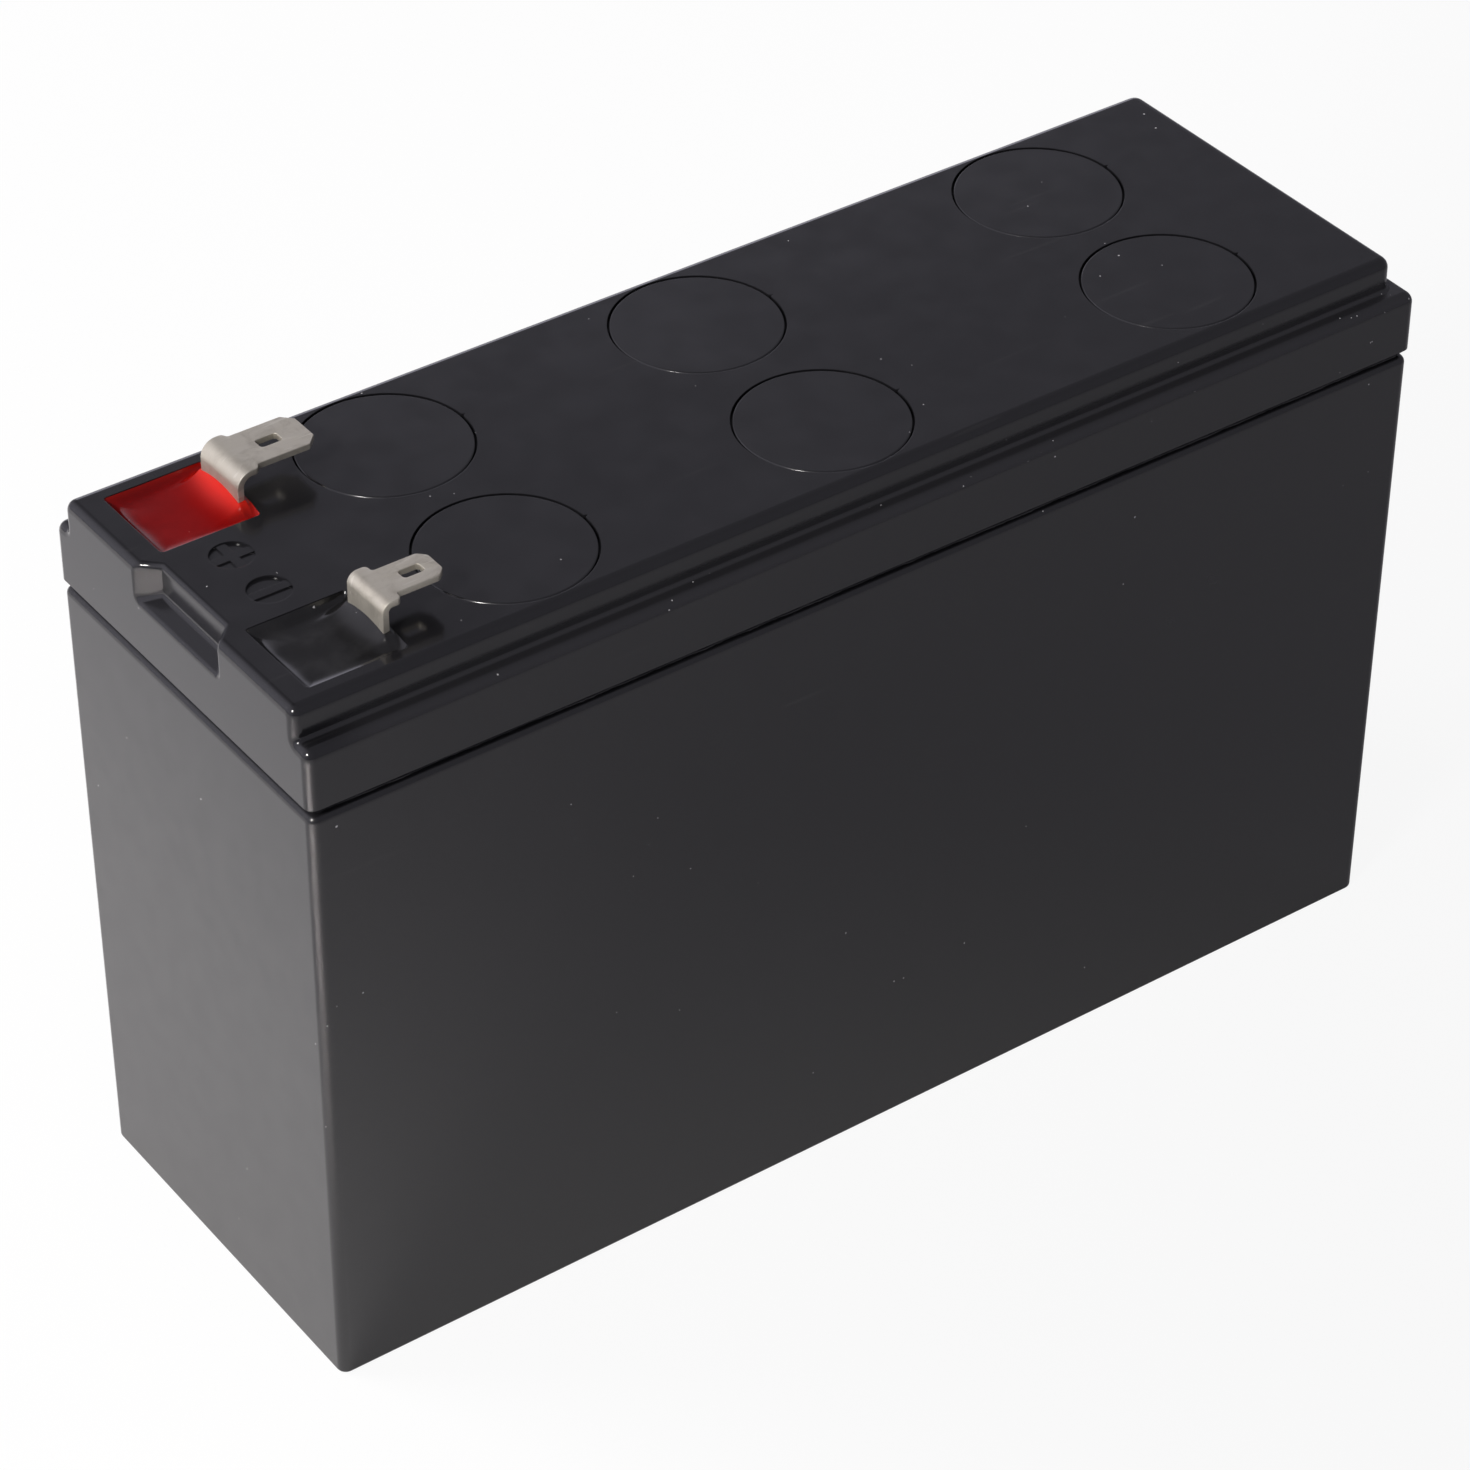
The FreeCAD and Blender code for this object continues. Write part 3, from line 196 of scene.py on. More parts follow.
def moulded_plastic(name, level, roughness, shift, grain, dusty, ledge=False, rubbed=False):
    """Black moulded plastic: fine grain, slow waves, faint smears, hairlines and dust, and on a ledge a
    lighter tone that is partly dust and partly painted fill light.
    """
    s = Surface(name)
    smears = s.noise(22, 4.0, 0.6, 1.6, s.stretched((1, 1, 0.45), shift))
    smear = s.ramp(smears, 0.5, 0.78)
    fine = s.noise(3200, 2.0, 0.6)
    peel = s.noise(240, 2.0, 0.5, place=s.stretched((1, 1, 1), shift))
    waves = s.noise(26, 1.0, 0.4, place=s.stretched((1, 1, 0.6), shift))
    hair = s.noise(900, 1.0, 0.5, 0.4, s.stretched((0.04, 1, 1), shift))
    scratch = s.ramp(hair, 0.735, 0.76)
    dust = specks(s, 900, 0.09 * MM, 0.018 * dusty, shift)
    lint = specks(s, 520, 0.13 * MM, 0.003 * dusty, (shift[0] + 0.31, shift[1], shift[2] + 0.17))
    powder = s.math("MAXIMUM", dust, lint)
    if rubbed:
        nicks = specks(s, 1100, 0.09 * MM, 0.07, (0.6, 0.1, 0.2))
        nicks = s.math("MULTIPLY", nicks, s.ramp(rubbed_corner(s), 0.3, 0.8))
        powder = s.math("MAXIMUM", powder, nicks)
    if ledge:
        dust_and_fill = ledge_dust_and_fill(s)
        grit = specks(s, 1000, 0.09 * MM, 0.08, (0.2, 0.5, 0.3))
        grit = s.math("MULTIPLY", grit, s.ramp(dust_and_fill, 0.3, 0.8))
        powder = s.math("MAXIMUM", powder, grit)
    base = s.mix(smear, grey(level, 1.12), grey(level * 1.12, 1.10))
    colour = s.mix(s.math("MULTIPLY", scratch, 0.25), base, grey(level * 3.2))
    rough = s.ramp(peel, 0.2, 0.8, roughness - 0.03, roughness + 0.03)
    rough = s.math("ADD", rough, s.math("MULTIPLY", smear, 0.015))
    rough = s.math("ADD", rough, s.math("MULTIPLY", powder, 0.4))
    if ledge:
        # Lighter grey on the ledge: partly dust, partly painted fill light that softens the dark lines
        # mirrored there.
        colour = s.mix(dust_and_fill, colour, grey(level * 1.8, 1.1))
        rough = s.math("ADD", rough, s.math("MULTIPLY", dust_and_fill, 0.22))
    colour = s.mix(s.math("MULTIPLY", powder, 0.8), colour, grey(0.50))
    s.bump(waves, 0.06 * MM, 0.5)
    s.bump(peel, 0.0025 * MM, 0.5)
    s.bump(fine, 0.0025 * MM * grain, 0.6)
    s.bump(powder, 0.05 * MM, 0.6)
    return s.finish(Base_Color=colour, Roughness=rough, IOR=1.54)


def red_potting():
    """Clear red resin over metal: deep in the pool, and brighter towards and up the tab, partly the tin
    showing through the thinning resin and partly painted light bounced from the lit tab.
    """
    s = Surface("red_potting")
    x, _, z = s.split()
    nearness = s.ramp(x, POCKET_X - 3.4 * MM, RISER_X - 0.2 * MM)
    climb = s.ramp(z, RESIN_LEVEL + 0.1 * MM, RESIN_LEVEL + 2.0 * MM)
    clouds = s.noise(320, 3.0, 0.6)
    deep = s.mix(s.ramp(clouds, 0.35, 0.7), (0.120, 0.002, 0.002, 1), (0.150, 0.002, 0.002, 1))
    # Brighter red towards the tab and up it: partly tin under thin resin, partly painted light bounced
    # from the lit tab.
    tin_and_bounce_red = s.mix(nearness, deep, (0.145, 0.002, 0.002, 1))
    colour = s.mix(climb, tin_and_bounce_red, (0.42, 0.010, 0.004, 1))
    dust = specks(s, 1300, 0.07 * MM, 0.02, (0.2, 0.1, 0))
    colour = s.mix(s.math("MULTIPLY", dust, 0.4), colour, (0.8, 0.4, 0.36, 1))
    swell = s.noise(260, 2.0)
    s.bump(swell, 0.03 * MM, 0.4)
    rough = s.ramp(clouds, 0.3, 0.7, 0.10, 0.18)
    return s.finish(Base_Color=colour, Roughness=rough, IOR=1.40, Specular_IOR_Level=0.22,
                    Subsurface_Weight=0.25, Subsurface_Radius=(1.0, 0.12, 0.1),
                    Subsurface_Scale=0.8 * MM)


def black_potting():
    """Black resin with a skin gloss and a few bubbles and grains."""
    s = Surface("black_potting")
    clouds = s.noise(300, 3.0, 0.6)
    colour = s.mix(s.ramp(clouds, 0.4, 0.75), grey(0.007), grey(0.012))
    dust = specks(s, 1200, 0.12 * MM, 0.04, (0.4, 0.3, 0))
    colour = s.mix(s.math("MULTIPLY", dust, 0.8), colour, grey(0.4))
    swell = s.noise(240, 2.0)
    s.bump(swell, 0.05 * MM, 0.5)
    rough = s.ramp(clouds, 0.3, 0.7, 0.10, 0.18)
    return s.finish(Base_Color=colour, Roughness=rough, IOR=1.45)


def tinned_sheet():
    """Matt tin on sheet metal: rolled streaks along the strip, faint stains and scratches."""
    s = Surface("tinned_sheet")
    rolled = s.noise(1500, 3.0, 0.6, place=s.stretched((0.12, 1, 0.12)))
    stains = s.noise(420, 4.0, 0.65, 0.8)
    pits = s.noise(5200, 2.0, 0.6)
    hair = s.noise(1900, 1.0, 0.5, 0.6, s.stretched((0.06, 1, 0.3), (0.5, 0, 0)))
    scratch = s.ramp(hair, 0.68, 0.74)
    tint = s.mix(s.ramp(stains, 0.42, 0.72), (0.60, 0.565, 0.48, 1), (0.50, 0.465, 0.39, 1))
    colour = s.mix(s.math("MULTIPLY", scratch, 0.5), tint, (0.76, 0.73, 0.65, 1))
    rough = s.ramp(rolled, 0.25, 0.75, 0.44, 0.58)
    s.bump(rolled, 0.010 * MM, 0.6)
    s.bump(pits, 0.006 * MM, 0.6)
    return s.finish(Base_Color=colour, Roughness=rough, Metallic=0.85)


def plain_rubber():
    s = Surface("cap_rubber")
    fine = s.noise(1800, 3.0)
    bloom = s.noise(160, 3.0)
    colour = s.mix(s.ramp(bloom, 0.4, 0.7), grey(0.02), grey(0.035))
    s.bump(fine, 0.02 * MM, 0.5)
    return s.finish(Base_Color=colour, Roughness=s.ramp(fine, 0.3, 0.7, 0.6, 0.8))


def lead_paste(name, dark, light):
    """Pasted lead plates: a grid showing through crumbly paste."""
    s = Surface(name)
    crumbs = s.noise(900, 5.0, 0.7)
    x, _, z = s.split()
    across = s.ramp(s.math("PINGPONG", z, 3.0 * MM), 0.25 * MM, 0.45 * MM)
    along = s.ramp(s.math("PINGPONG", x, 4.0 * MM), 0.25 * MM, 0.45 * MM)
    paste = s.math("MINIMUM", across, along)
    colour = s.mix(s.math("MULTIPLY", paste, s.ramp(crumbs, 0.3, 0.6)), light, dark)
    s.bump(crumbs, 0.12 * MM, 0.7)
    return s.finish(Base_Color=colour, Roughness=0.7, Metallic=0.3)


def glass_mat():
    s = Surface("glass_mat")
    fibres = s.noise(1400, 4.0, 0.7, 1.5, s.stretched((1, 1, 0.3)))
    colour = s.mix(s.ramp(fibres, 0.3, 0.7), (0.72, 0.72, 0.70, 1), (0.88, 0.88, 0.87, 1))
    s.bump(fibres, 0.1 * MM, 0.8)
    return s.finish(Base_Color=colour, Roughness=0.9, Sheen_Weight=0.3)


def dress(item, material):
    item.data.materials.clear()
    item.data.materials.append(material)


def as_piece(name, mesh, material, node_names):
    """Makes a mesh a shown piece that stands for CAD nodes."""
    piece = collection_add(bpy.data.objects.new(name, mesh))
    dress(piece, material)
    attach(piece, "root")
    if node_names:
        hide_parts(*node_names)
    return piece


def smooth(mesh, degrees):
    """Smooth shading, broken at edges sharper than the angle."""
    mesh.shade_smooth()
    mesh.set_sharp_from_angle(angle=math.radians(degrees))


def even_shading(piece, weight):
    """Keeps large faces flat in shading beside narrow rounds."""
    weighted = piece.modifiers.new("even_shading", "WEIGHTED_NORMAL")
    weighted.keep_sharp = True
    weighted.weight = weight


def is_crisp(edge, least):
    """True for an outer edge whose faces meet at more than that angle."""
    return edge.is_manifold and edge.is_convex and edge.calc_face_angle() > least


def eased(node_name, name, width, material, keep=None):
    """A CAD node's surface with its crisp outer edges eased by width, and smooth shading."""
    source = NODES[node_name].data
    shape = bmesh.new()
    shape.from_mesh(source)
    bmesh.ops.remove_doubles(shape, verts=shape.verts, dist=0.0005 * MM)
    bmesh.ops.dissolve_limit(shape, angle_limit=math.radians(0.6), verts=shape.verts, edges=shape.edges)
    least = math.radians(28)
    crisp = [e for e in shape.edges if is_crisp(e, least) and (keep is None or keep(e))]
    bmesh.ops.bevel(shape, geom=crisp, offset=width, offset_type="OFFSET", segments=2,
                    profile=0.5, affect="EDGES", clamp_overlap=True)
    mesh = bpy.data.meshes.new(name)
    shape.to_mesh(mesh)
    shape.free()
    for layer in ("custom_normal", "sharp_face", "sharp_edge"):
        if layer in mesh.attributes:
            mesh.attributes.remove(mesh.attributes[layer])
    smooth(mesh, 35)
    even_shading(as_piece(name, mesh, material, [node_name]), 80)


def rounded_outline(corners, steps=6):
    """Closed outline through (u, v, radius) corners, each turned into an arc of its radius."""
    points = []
    count = len(corners)
    for here in range(count):
        u, v, radius = corners[here]
        spot = Vector((u, v))
        back = Vector(corners[here - 1][:2]) - spot
        ahead = Vector(corners[(here + 1) % count][:2]) - spot
        if radius <= 0:
            points.append(spot)
            continue
        half = back.angle(ahead) / 2
        setback = radius / math.tan(half)
        start, end = spot + back.normalized() * setback, spot + ahead.normalized() * setback
        middle = spot + (back.normalized() + ahead.normalized()).normalized() * (radius / math.sin(half))
        first, last = start - middle, end - middle
        turn = first.angle_signed(last)
        for step in range(steps + 1):
            bent = first.copy()
            bent.rotate(Matrix.Rotation(-turn * step / steps, 2))
            points.append(middle + bent)
    return points


def flat_blank(name, outlines, thickness, ease):
    """Sheet blank with holes: filled outlines with the given thickness and eased edges."""
    curve = bpy.data.curves.new(name, "CURVE")
    curve.dimensions = "2D"
    curve.fill_mode = "BOTH"
    curve.extrude = thickness / 2 - ease
    curve.bevel_depth = ease
    curve.bevel_resolution = 2
    curve.offset = -ease
    for points in outlines:
        spline = curve.splines.new("POLY")
        spline.points.add(len(points) - 1)
        for place, point in zip(spline.points, points):
            place.co = (point[0], point[1], 0, 1)
        spline.use_cyclic_u = True
    form = bpy.data.objects.new(name, curve)
    mesh = bpy.data.meshes.new_from_object(form)
    bpy.data.objects.remove(form)
    bpy.data.curves.remove(curve)
    return mesh


class Strip:
    """The way of a bent strip in X and Z: foot, bend, upright, bend, blade. Holds its own length."""

    def __init__(self, heel, tip, bend):
        half = SHEET / 2
        self.heel, self.bend = heel, bend
        self.foot = RISER_X + SHEET - FOOT_BEND - heel
        self.low_arc = (FOOT_BEND - half) * math.pi / 2
        self.upright = TAB_TOP - bend - POCKET_BOTTOM - FOOT_BEND
        self.high_arc = (bend - half) * math.pi / 2
        self.blade = tip - RISER_X - bend
        self.length = self.foot + self.low_arc + self.upright + self.high_arc + self.blade

    def bent_spans(self):
        low = self.foot
        high = low + self.low_arc + self.upright
        return (low, low + self.low_arc), (high, high + self.high_arc)

    def place(self, along, out):
        """X and Z of a spot at a length along the strip and a height above its middle."""
        half = SHEET / 2
        if along < self.foot:
            return self.heel + along, POCKET_BOTTOM + half + out
        along -= self.foot
        if along < self.low_arc:
            turn = along / (FOOT_BEND - half)
            radius = FOOT_BEND - half - out
            return (self.heel + self.foot + radius * math.sin(turn),
                    POCKET_BOTTOM + FOOT_BEND - radius * math.cos(turn))
        along -= self.low_arc
        if along < self.upright:
            return RISER_X + half - out, POCKET_BOTTOM + FOOT_BEND + along
        along -= self.upright
        if along < self.high_arc:
            turn = along / (self.bend - half)
            radius = self.bend - half + out
            return (RISER_X + self.bend - radius * math.cos(turn),
                    TAB_TOP - self.bend + radius * math.sin(turn))
        return RISER_X + self.bend + along - self.high_arc, TAB_TOP - half + out


def bent_tab(pole, material, row, reach, blade, width, shoulder, bend, tip_cut, tip_round, slot,
             slot_end):
    """Terminal tab as one bent sheet with eased edges; it stands for the CAD node. Sizes in mm."""
    spots = [v.co.x for v in NODES[f"{pole}_tab"].data.vertices]
    strip = Strip(min(spots), RISER_X + reach * MM, bend * MM)
    end = strip.length
    neck = end - blade * MM
    wide, narrow = shoulder / 2 * MM, width / 2 * MM
    cut = tip_cut * MM
    side = [(0, wide, 0), (neck, wide, 0.6 * MM), (neck, narrow, 0.35 * MM),
            (end - cut, narrow, tip_round * MM), (end, narrow - cut, tip_round * MM)]
    outer = rounded_outline(side + [(u, -v, radius) for u, v, radius in reversed(side)])
    slot_middle = end - slot_end * MM
    long, high = slot[0] / 2 * MM, slot[1] / 2 * MM
    quarters = ((1, 1), (-1, 1), (-1, -1), (1, -1))
    window = [(slot_middle + long * a, high * b, 0.4 * MM) for a, b in quarters]
    mesh = flat_blank(f"{pole}_sheet", [outer, rounded_outline(window)], SHEET, 0.09 * MM)
    shape = bmesh.new()
    shape.from_mesh(mesh)
    bmesh.ops.remove_doubles(shape, verts=shape.verts, dist=0.001 * MM)
    cuts = [a + (b - a) * step / 14 for a, b in strip.bent_spans() for step in range(15)]
    cuts += [neck - 0.7 * MM, neck + 0.4 * MM]
    for along in cuts:
        parts = shape.verts[:] + shape.edges[:] + shape.faces[:]
        bmesh.ops.bisect_plane(shape, geom=parts, plane_co=(along, 0, 0), plane_no=(1, 0, 0))
    for vertex in shape.verts:
        x, z = strip.place(vertex.co.x, vertex.co.z)
        vertex.co = (x, vertex.co.y + POCKET_Y * row, z)
    bmesh.ops.recalc_face_normals(shape, faces=shape.faces)
    shape.to_mesh(mesh)
    shape.free()
    smooth(mesh, 50)
    even_shading(as_piece(f"{pole}_blade", mesh, material, [f"{pole}_tab"]), 50)


def corner_distance(x, y):
    """How far a point in a pocket is from the pocket's wall; corners are round."""
    dx = POCKET_HALF - abs(x)
    dy = POCKET_HALF - abs(y)
    if dx < POCKET_CORNER and dy < POCKET_CORNER:
        return POCKET_CORNER - math.hypot(POCKET_CORNER - dx, POCKET_CORNER - dy)
    return min(dx, dy)


def resin_height(x, y, half_tab, peak, edge):
    """Height of the set resin above its level: drawn up the pocket's walls and up the tab."""
    wall = 0.88 * MM * math.exp(-max(corner_distance(x - POCKET_X, y), 0) / (0.55 * MM))
    side = min(abs(y) / half_tab, 1.0)
    rise = peak + (edge - peak) * side * side
    off_tab = max(abs(y) - half_tab, 0) / (1.5 * MM)
    rise *= math.exp(-off_tab * off_tab * 1.6)
    if x < RISER_X:
        run = (RISER_X - x) / (1.6 * MM)
        climb = rise * math.exp(-run)
    elif x < RISER_X + SHEET:
        climb = rise
    else:
        share = (x - RISER_X - SHEET) / (0.6 * MM)
        climb = rise * (1 - 0.62 * min(share, 1))
    slow = noise.noise(Vector((x, y, 0.3)) * 260) * 0.05 * MM
    return wall * (1 - 0.5 * min(climb / peak, 1)) + climb + slow


def resin_pool(name, row, node_name, material, half_tab, peak, edge):
    """Potting of a pocket as one closed fine mesh, its outline pressed to the pocket's walls."""
    steps = 110
    mesh = bpy.data.meshes.new(name)
    shape = bmesh.new()
    grid = []
    for i in range(steps + 1):
        line = []
        for j in range(steps + 1):
            u = -1 + 2 * i / steps
            v = -1 + 2 * j / steps
            x, y = POCKET_HALF * u, POCKET_HALF * v
            inner = POCKET_HALF - POCKET_CORNER
            if abs(x) > inner and abs(y) > inner:
                cx, cy = math.copysign(inner, x), math.copysign(inner, y)
                reach = max(abs(x - cx), abs(y - cy))
                away = math.hypot(x - cx, y - cy) or 1.0
                x, y = cx + (x - cx) / away * reach, cy + (y - cy) / away * reach
            height = resin_height(POCKET_X + x, y, half_tab, peak, edge)
            line.append(shape.verts.new((POCKET_X + x, POCKET_Y * row + y, RESIN_LEVEL + height)))
        grid.append(line)
    for i in range(steps):
        for j in range(steps):
            shape.faces.new((grid[i][j], grid[i + 1][j], grid[i + 1][j + 1], grid[i][j + 1]))
    rim = [grid[i][0] for i in range(steps)] + [grid[steps][j] for j in range(steps)]
    rim += [grid[i][steps] for i in range(steps, 0, -1)] + [grid[0][j] for j in range(steps, 0, -1)]
    foot = [shape.verts.new((v.co.x, v.co.y, POCKET_BOTTOM)) for v in rim]
    for here in range(len(rim)):
        after = (here + 1) % len(rim)
        shape.faces.new((rim[after], rim[here], foot[here], foot[after]))
    shape.faces.new(list(reversed(foot)))
    bmesh.ops.recalc_face_normals(shape, faces=shape.faces)
    shape.to_mesh(mesh)
    shape.free()
    smooth(mesh, 50)
    as_piece(name, mesh, material, [node_name])


def ring_point(share, half_x, half_y, radius):
    """Point at a share of the way round a rectangle with round corners, and its outward normal."""
    straight_x = (half_x - radius) * 2
    straight_y = (half_y - radius) * 2
    arc = math.pi / 2 * radius
    total = 2 * straight_x + 2 * straight_y + 4 * arc
    along = share * total
    legs = [(straight_x, (-1, 0), (0, 1)), (straight_y, (0, -1), (-1, 0)),
            (straight_x, (1, 0), (0, -1)), (straight_y, (0, 1), (1, 0))]
    here = Vector((half_x - radius, half_y, 0))
    for length, way, out in legs:
        if along <= length:
            return here + Vector((*way, 0)) * along, Vector((*out, 0))
        along -= length
        here = here + Vector((*way, 0)) * length
        centre = here - Vector((*out, 0)) * radius
        if along <= arc:
            turn = along / radius
            normal = Vector((*out, 0)) * math.cos(turn) + Vector((*way, 0)) * math.sin(turn)
            return centre + normal * radius, normal
        along -= arc
        here = centre + Vector((*way, 0)) * radius
    return here, Vector((1, 0, 0))


def weld_flash(material):
    """Thin uneven bead of plastic pressed out of the weld, deep in the groove under the cover."""
    name = "weld_flash"
    steps, sides = 1400, 8
    inset = 1.12 * MM
    half_x = HALF_LENGTH - inset
    half_y = HALF_WIDTH - inset
    shape = bmesh.new()
    rings = []
    for step in range(steps):
        share = step / steps
        spot, normal = ring_point(share, half_x, half_y, 0.5 * MM)
        thick = 0.20 + 0.16 * noise.noise(spot * 340) + 0.10 * noise.noise(spot * 1500)
        rise = 0.06 * noise.noise(spot * 500 + Vector((3, 1, 2)))
        ring = []
        for side in range(sides):
            turn = 2 * math.pi * side / sides
            out = normal * (math.cos(turn) * thick * MM)
            up = Vector((0, 0, math.sin(turn) * thick * 0.7 * MM + GROOVE + rise * MM + 0.04 * MM))
            ring.append(shape.verts.new(spot + out + up))
        rings.append(ring)
    for here in range(steps):
        after = (here + 1) % steps
        for side in range(sides):
            turned = (side + 1) % sides
            near, far = rings[here], rings[after]
            shape.faces.new((near[side], far[side], far[turned], near[turned]))
    bmesh.ops.recalc_face_normals(shape, faces=shape.faces)
    mesh = bpy.data.meshes.new(name)
    shape.to_mesh(mesh)
    shape.free()
    mesh.shade_smooth()
    as_piece(name, mesh, material, [])


def build_battery():
    container_black = moulded_plastic("container_black", 0.009, 0.24, (0, 0, 0), 1.0, 0.5, rubbed=True)
    cover_black = moulded_plastic("cover_black", 0.0085, 0.15, (0.7, 0.2, 0.1), 0.8, 1.0, ledge=True)
    lid_black = moulded_plastic("lid_black", 0.0085, 0.17, (0.3, 0.9, 0.4), 0.8, 1.6)
    tin = tinned_sheet()
    rubber = plain_rubber()
    brown = lead_paste("positive_paste", (0.075, 0.035, 0.022, 1), (0.30, 0.29, 0.28, 1))
    lead = lead_paste("negative_paste", (0.12, 0.125, 0.13, 1), (0.33, 0.33, 0.34, 1))
    mat = glass_mat()

    eased("container", "case_container", 0.06 * MM, container_black)
    eased("cover", "case_cover", 0.10 * MM, cover_black,
          keep=lambda e: min(v.co.z for v in e.verts) > TOP - 4 * MM)
    for number in range(1, 7):
        eased(f"valve_lid_{number}", f"lid_{number}", 0.04 * MM, lid_black)
    for pole, sizes in TABS.items():
        bent_tab(pole, tin, **sizes)
    resin_pool("red_pool", 1, "positive_resin", red_potting(),
               half_tab=3.9 * MM, peak=2.2 * MM, edge=1.6 * MM)
    resin_pool("black_pool", -1, "negative_resin", black_potting(),
               half_tab=3.5 * MM, peak=2.0 * MM, edge=1.5 * MM)
    weld_flash(container_black)

    hidden = {"valve_cap": rubber, "positive_seal": rubber, "negative_seal": rubber,
              "positive_plates": brown, "negative_plates": lead, "separator": mat}
    for name, node in NODES.items():
        for start, material in hidden.items():
            if name.startswith(start):
                dress(node, material)


def pale_share(tree, camera, glossy):
    """Share of the backdrop's own white that a ray sees: whole for the camera, part for gloss."""
    rays = tree.nodes.new("ShaderNodeLightPath")
    straight = tree.nodes.new("ShaderNodeMath")
    straight.operation = "MAXIMUM"
    tree.links.new(rays.outputs["Is Camera Ray"], straight.inputs[0])
    tree.links.new(rays.outputs["Is Transmission Ray"], straight.inputs[1])
    seen = tree.nodes.new("ShaderNodeMath")
    seen.operation = "MULTIPLY"
    seen.inputs[1].default_value = camera
    tree.links.new(straight.outputs[0], seen.inputs[0])
    mirrored = tree.nodes.new("ShaderNodeMath")
    mirrored.operation = "MULTIPLY_ADD"
    mirrored.inputs[1].default_value = glossy
    tree.links.new(rays.outputs["Is Glossy Ray"], mirrored.inputs[0])
    tree.links.new(seen.outputs[0], mirrored.inputs[2])
    return mirrored.outputs[0]


def white_floor():
    """Wide white floor; the camera sees it nearly white, with the shadow faint. Its paint is darker in
    front of the long side and past the terminal end, as painted shade.
    """
    mesh = bpy.data.meshes.new("floor")
    reach = 6.0
    corners = [(-reach, -reach, 0), (reach, -reach, 0), (reach, reach, 0), (-reach, reach, 0)]
    mesh.from_pydata(corners, [], [(0, 1, 2, 3)])
    floor = collection_add(bpy.data.objects.new("floor", mesh))
    s = Surface("floor_paint")
    tree = s.tree
    tree.nodes.remove(s.shader)
    x, y, _ = s.split()
    front = s.math("SUBTRACT", s.math("MULTIPLY", x, 0.6), s.math("MULTIPLY", y, 0.8))
    # Painted shade: the paint darkens in front of the long side and past the terminal end.
    paint_with_shade = s.mix(s.ramp(front, -0.03, 0.10), PAINT_NEAR, PAINTED_SHADE_FRONT)
    paint_with_shade = s.mix(s.ramp(x, -0.10, -0.14), paint_with_shade, PAINTED_SHADE_END)
    paint = s.add("ShaderNodeBsdfDiffuse", {"Color": paint_with_shade})
    glow = s.add("ShaderNodeEmission", {"Color": (1, 1, 1, 1), "Strength": 0.985})
    blend = s.add("ShaderNodeMixShader")
    s.give(blend.inputs[0], pale_share(tree, 0.93, 0.05))
    s.give(blend.inputs[1], paint.outputs[0])
    s.give(blend.inputs[2], glow.outputs[0])
    s.give(tree.nodes["Material Output"].inputs["Surface"], blend.outputs[0])
    dress(floor, s.material)


def lamp(name, place, aim, size, power, colour, spread=180, mirrored=True):
    """Square lamp; spread is its beam in degrees, and mirrored says whether gloss shows it."""
    data = bpy.data.lights.new(name, "AREA")
    data.shape = "SQUARE"
    data.size = size
    data.energy = power
    data.color = colour
    data.spread = math.radians(spread)
    item = collection_add(bpy.data.objects.new(name, data))
    item.location = place
    item.rotation_euler = (Vector(aim) - Vector(place)).to_track_quat("-Z", "Y").to_euler()
    item.visible_glossy = mirrored


def toward(tree, way, low, high, level):
    """World level that grows from 0 to the given one as a direction nears the given way."""
    nodes, links = tree.nodes, tree.links
    place = nodes.new("ShaderNodeTexCoord")
    nearness = nodes.new("ShaderNodeVectorMath")
    nearness.operation = "DOT_PRODUCT"
    nearness.inputs[1].default_value = Vector(way).normalized()
    links.new(place.outputs["Generated"], nearness.inputs[0])
    grade = nodes.new("ShaderNodeMapRange")
    grade.interpolation_type = "SMOOTHSTEP"
    grade.inputs["From Min"].default_value = low
    grade.inputs["From Max"].default_value = high
    grade.inputs["To Max"].default_value = level
    links.new(nearness.outputs["Value"], grade.inputs["Value"])
    return grade.outputs["Result"]


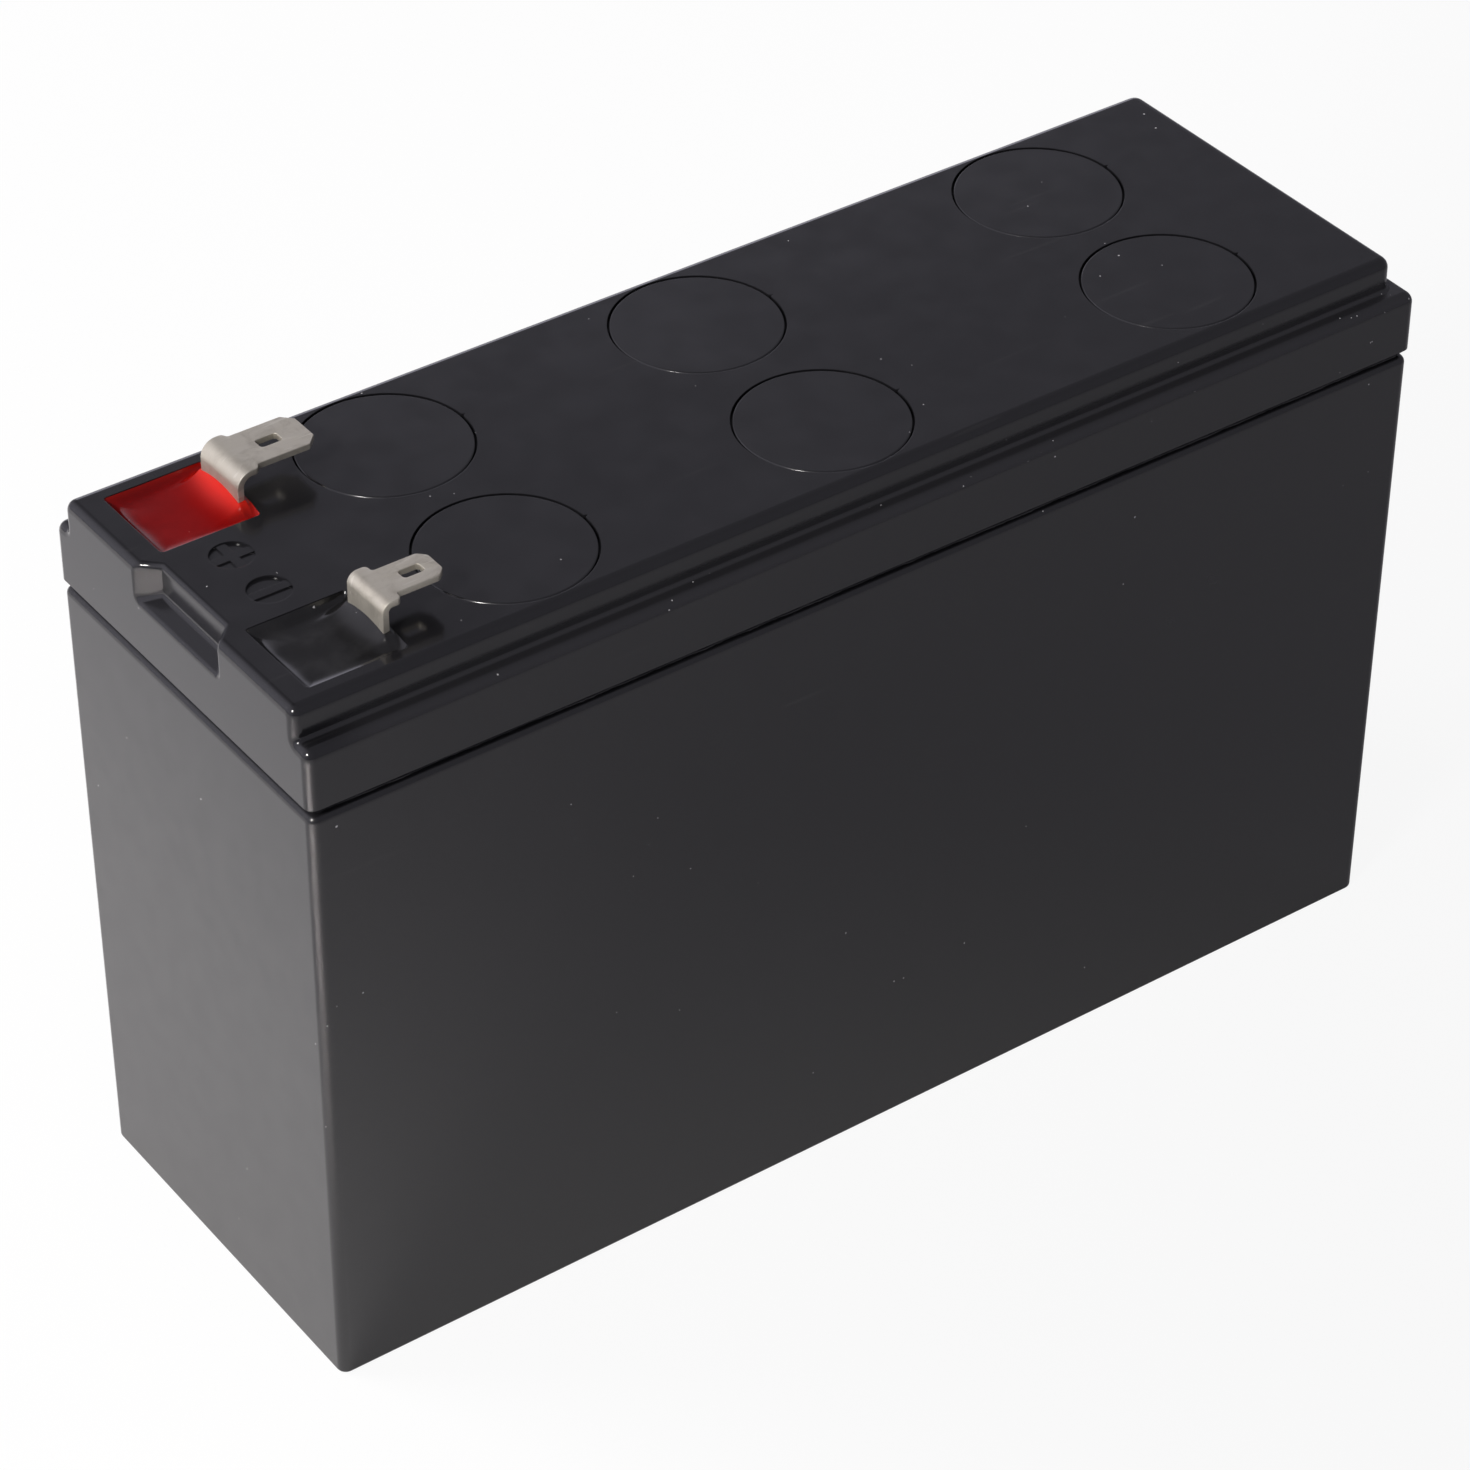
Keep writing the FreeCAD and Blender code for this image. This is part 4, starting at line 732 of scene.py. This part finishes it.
def light_scene():
    """Wide soft lamp behind on the left, a small one for the glints on the near corner, a narrow one
    for the floor that this corner mirrors, and a softly graded grey room."""
    world = bpy.data.worlds.new("studio")
    world.use_nodes = True
    tree = world.node_tree
    nodes, links = tree.nodes, tree.links
    back = nodes["Background"]
    room = nodes.new("ShaderNodeValue")
    room.outputs[0].default_value = ROOM_LEVEL
    total = room.outputs[0]
    for grade in ROOM_GRADES:
        step = nodes.new("ShaderNodeMath")
        step.operation = "ADD"
        links.new(total, step.inputs[0])
        links.new(toward(tree, *grade), step.inputs[1])
        total = step.outputs[0]
    level = nodes.new("ShaderNodeMapRange")
    links.new(pale_share(tree, 1.0, 0.05), level.inputs["Value"])
    links.new(total, level.inputs["To Min"])
    level.inputs["To Max"].default_value = 1.0
    tint = nodes.new("ShaderNodeMix")
    tint.data_type = "RGBA"
    links.new(pale_share(tree, 1.0, 0.0), tint.inputs[0])
    tint.inputs[6].default_value = ROOM_TINT
    tint.inputs[7].default_value = (1, 1, 1, 1)
    links.new(tint.outputs[2], back.inputs["Color"])
    links.new(level.outputs["Result"], back.inputs["Strength"])
    bpy.context.scene.world = world
    lamp("left", (-0.60, 0.60, 0.48), (-0.07, 0.02, 0.03), 0.50, 9.0, (1.0, 0.965, 0.93),
         mirrored=False)
    lamp("glint", (-0.76, -0.33, 0.73), (-0.03, 0, 0.08), 0.15, 7.4, (1.0, 0.97, 0.93))
    lamp("floor_glow", (-0.25, -0.17, 0.45), (-0.165, -0.072, 0), 0.05, 0.11, (1.0, 0.92, 0.87),
         spread=14, mirrored=False)


def aim_camera():
    """Camera as it stood for the photograph, worked out from the case's edges."""
    data = bpy.data.cameras.new("camera")
    data.sensor_width = 36.0
    data.lens = 122.82
    data.clip_start = 0.05
    data.clip_end = 30.0
    camera = collection_add(bpy.data.objects.new("camera", data))
    turn = Vector((2.1398, -0.6868, 0.3421))
    seen = Matrix.Rotation(turn.length, 3, turn.normalized())
    flip = Matrix(((1, 0, 0), (0, -1, 0), (0, 0, -1)))
    pose = (seen.transposed() @ flip).to_4x4()
    pose.translation = Vector((-276.006, -378.848, 401.539)) * MM
    camera.matrix_world = pose
    bpy.context.scene.camera = camera


build_battery()
white_floor()
light_scene()
aim_camera()
bpy.context.scene.view_settings.view_transform = "Standard"
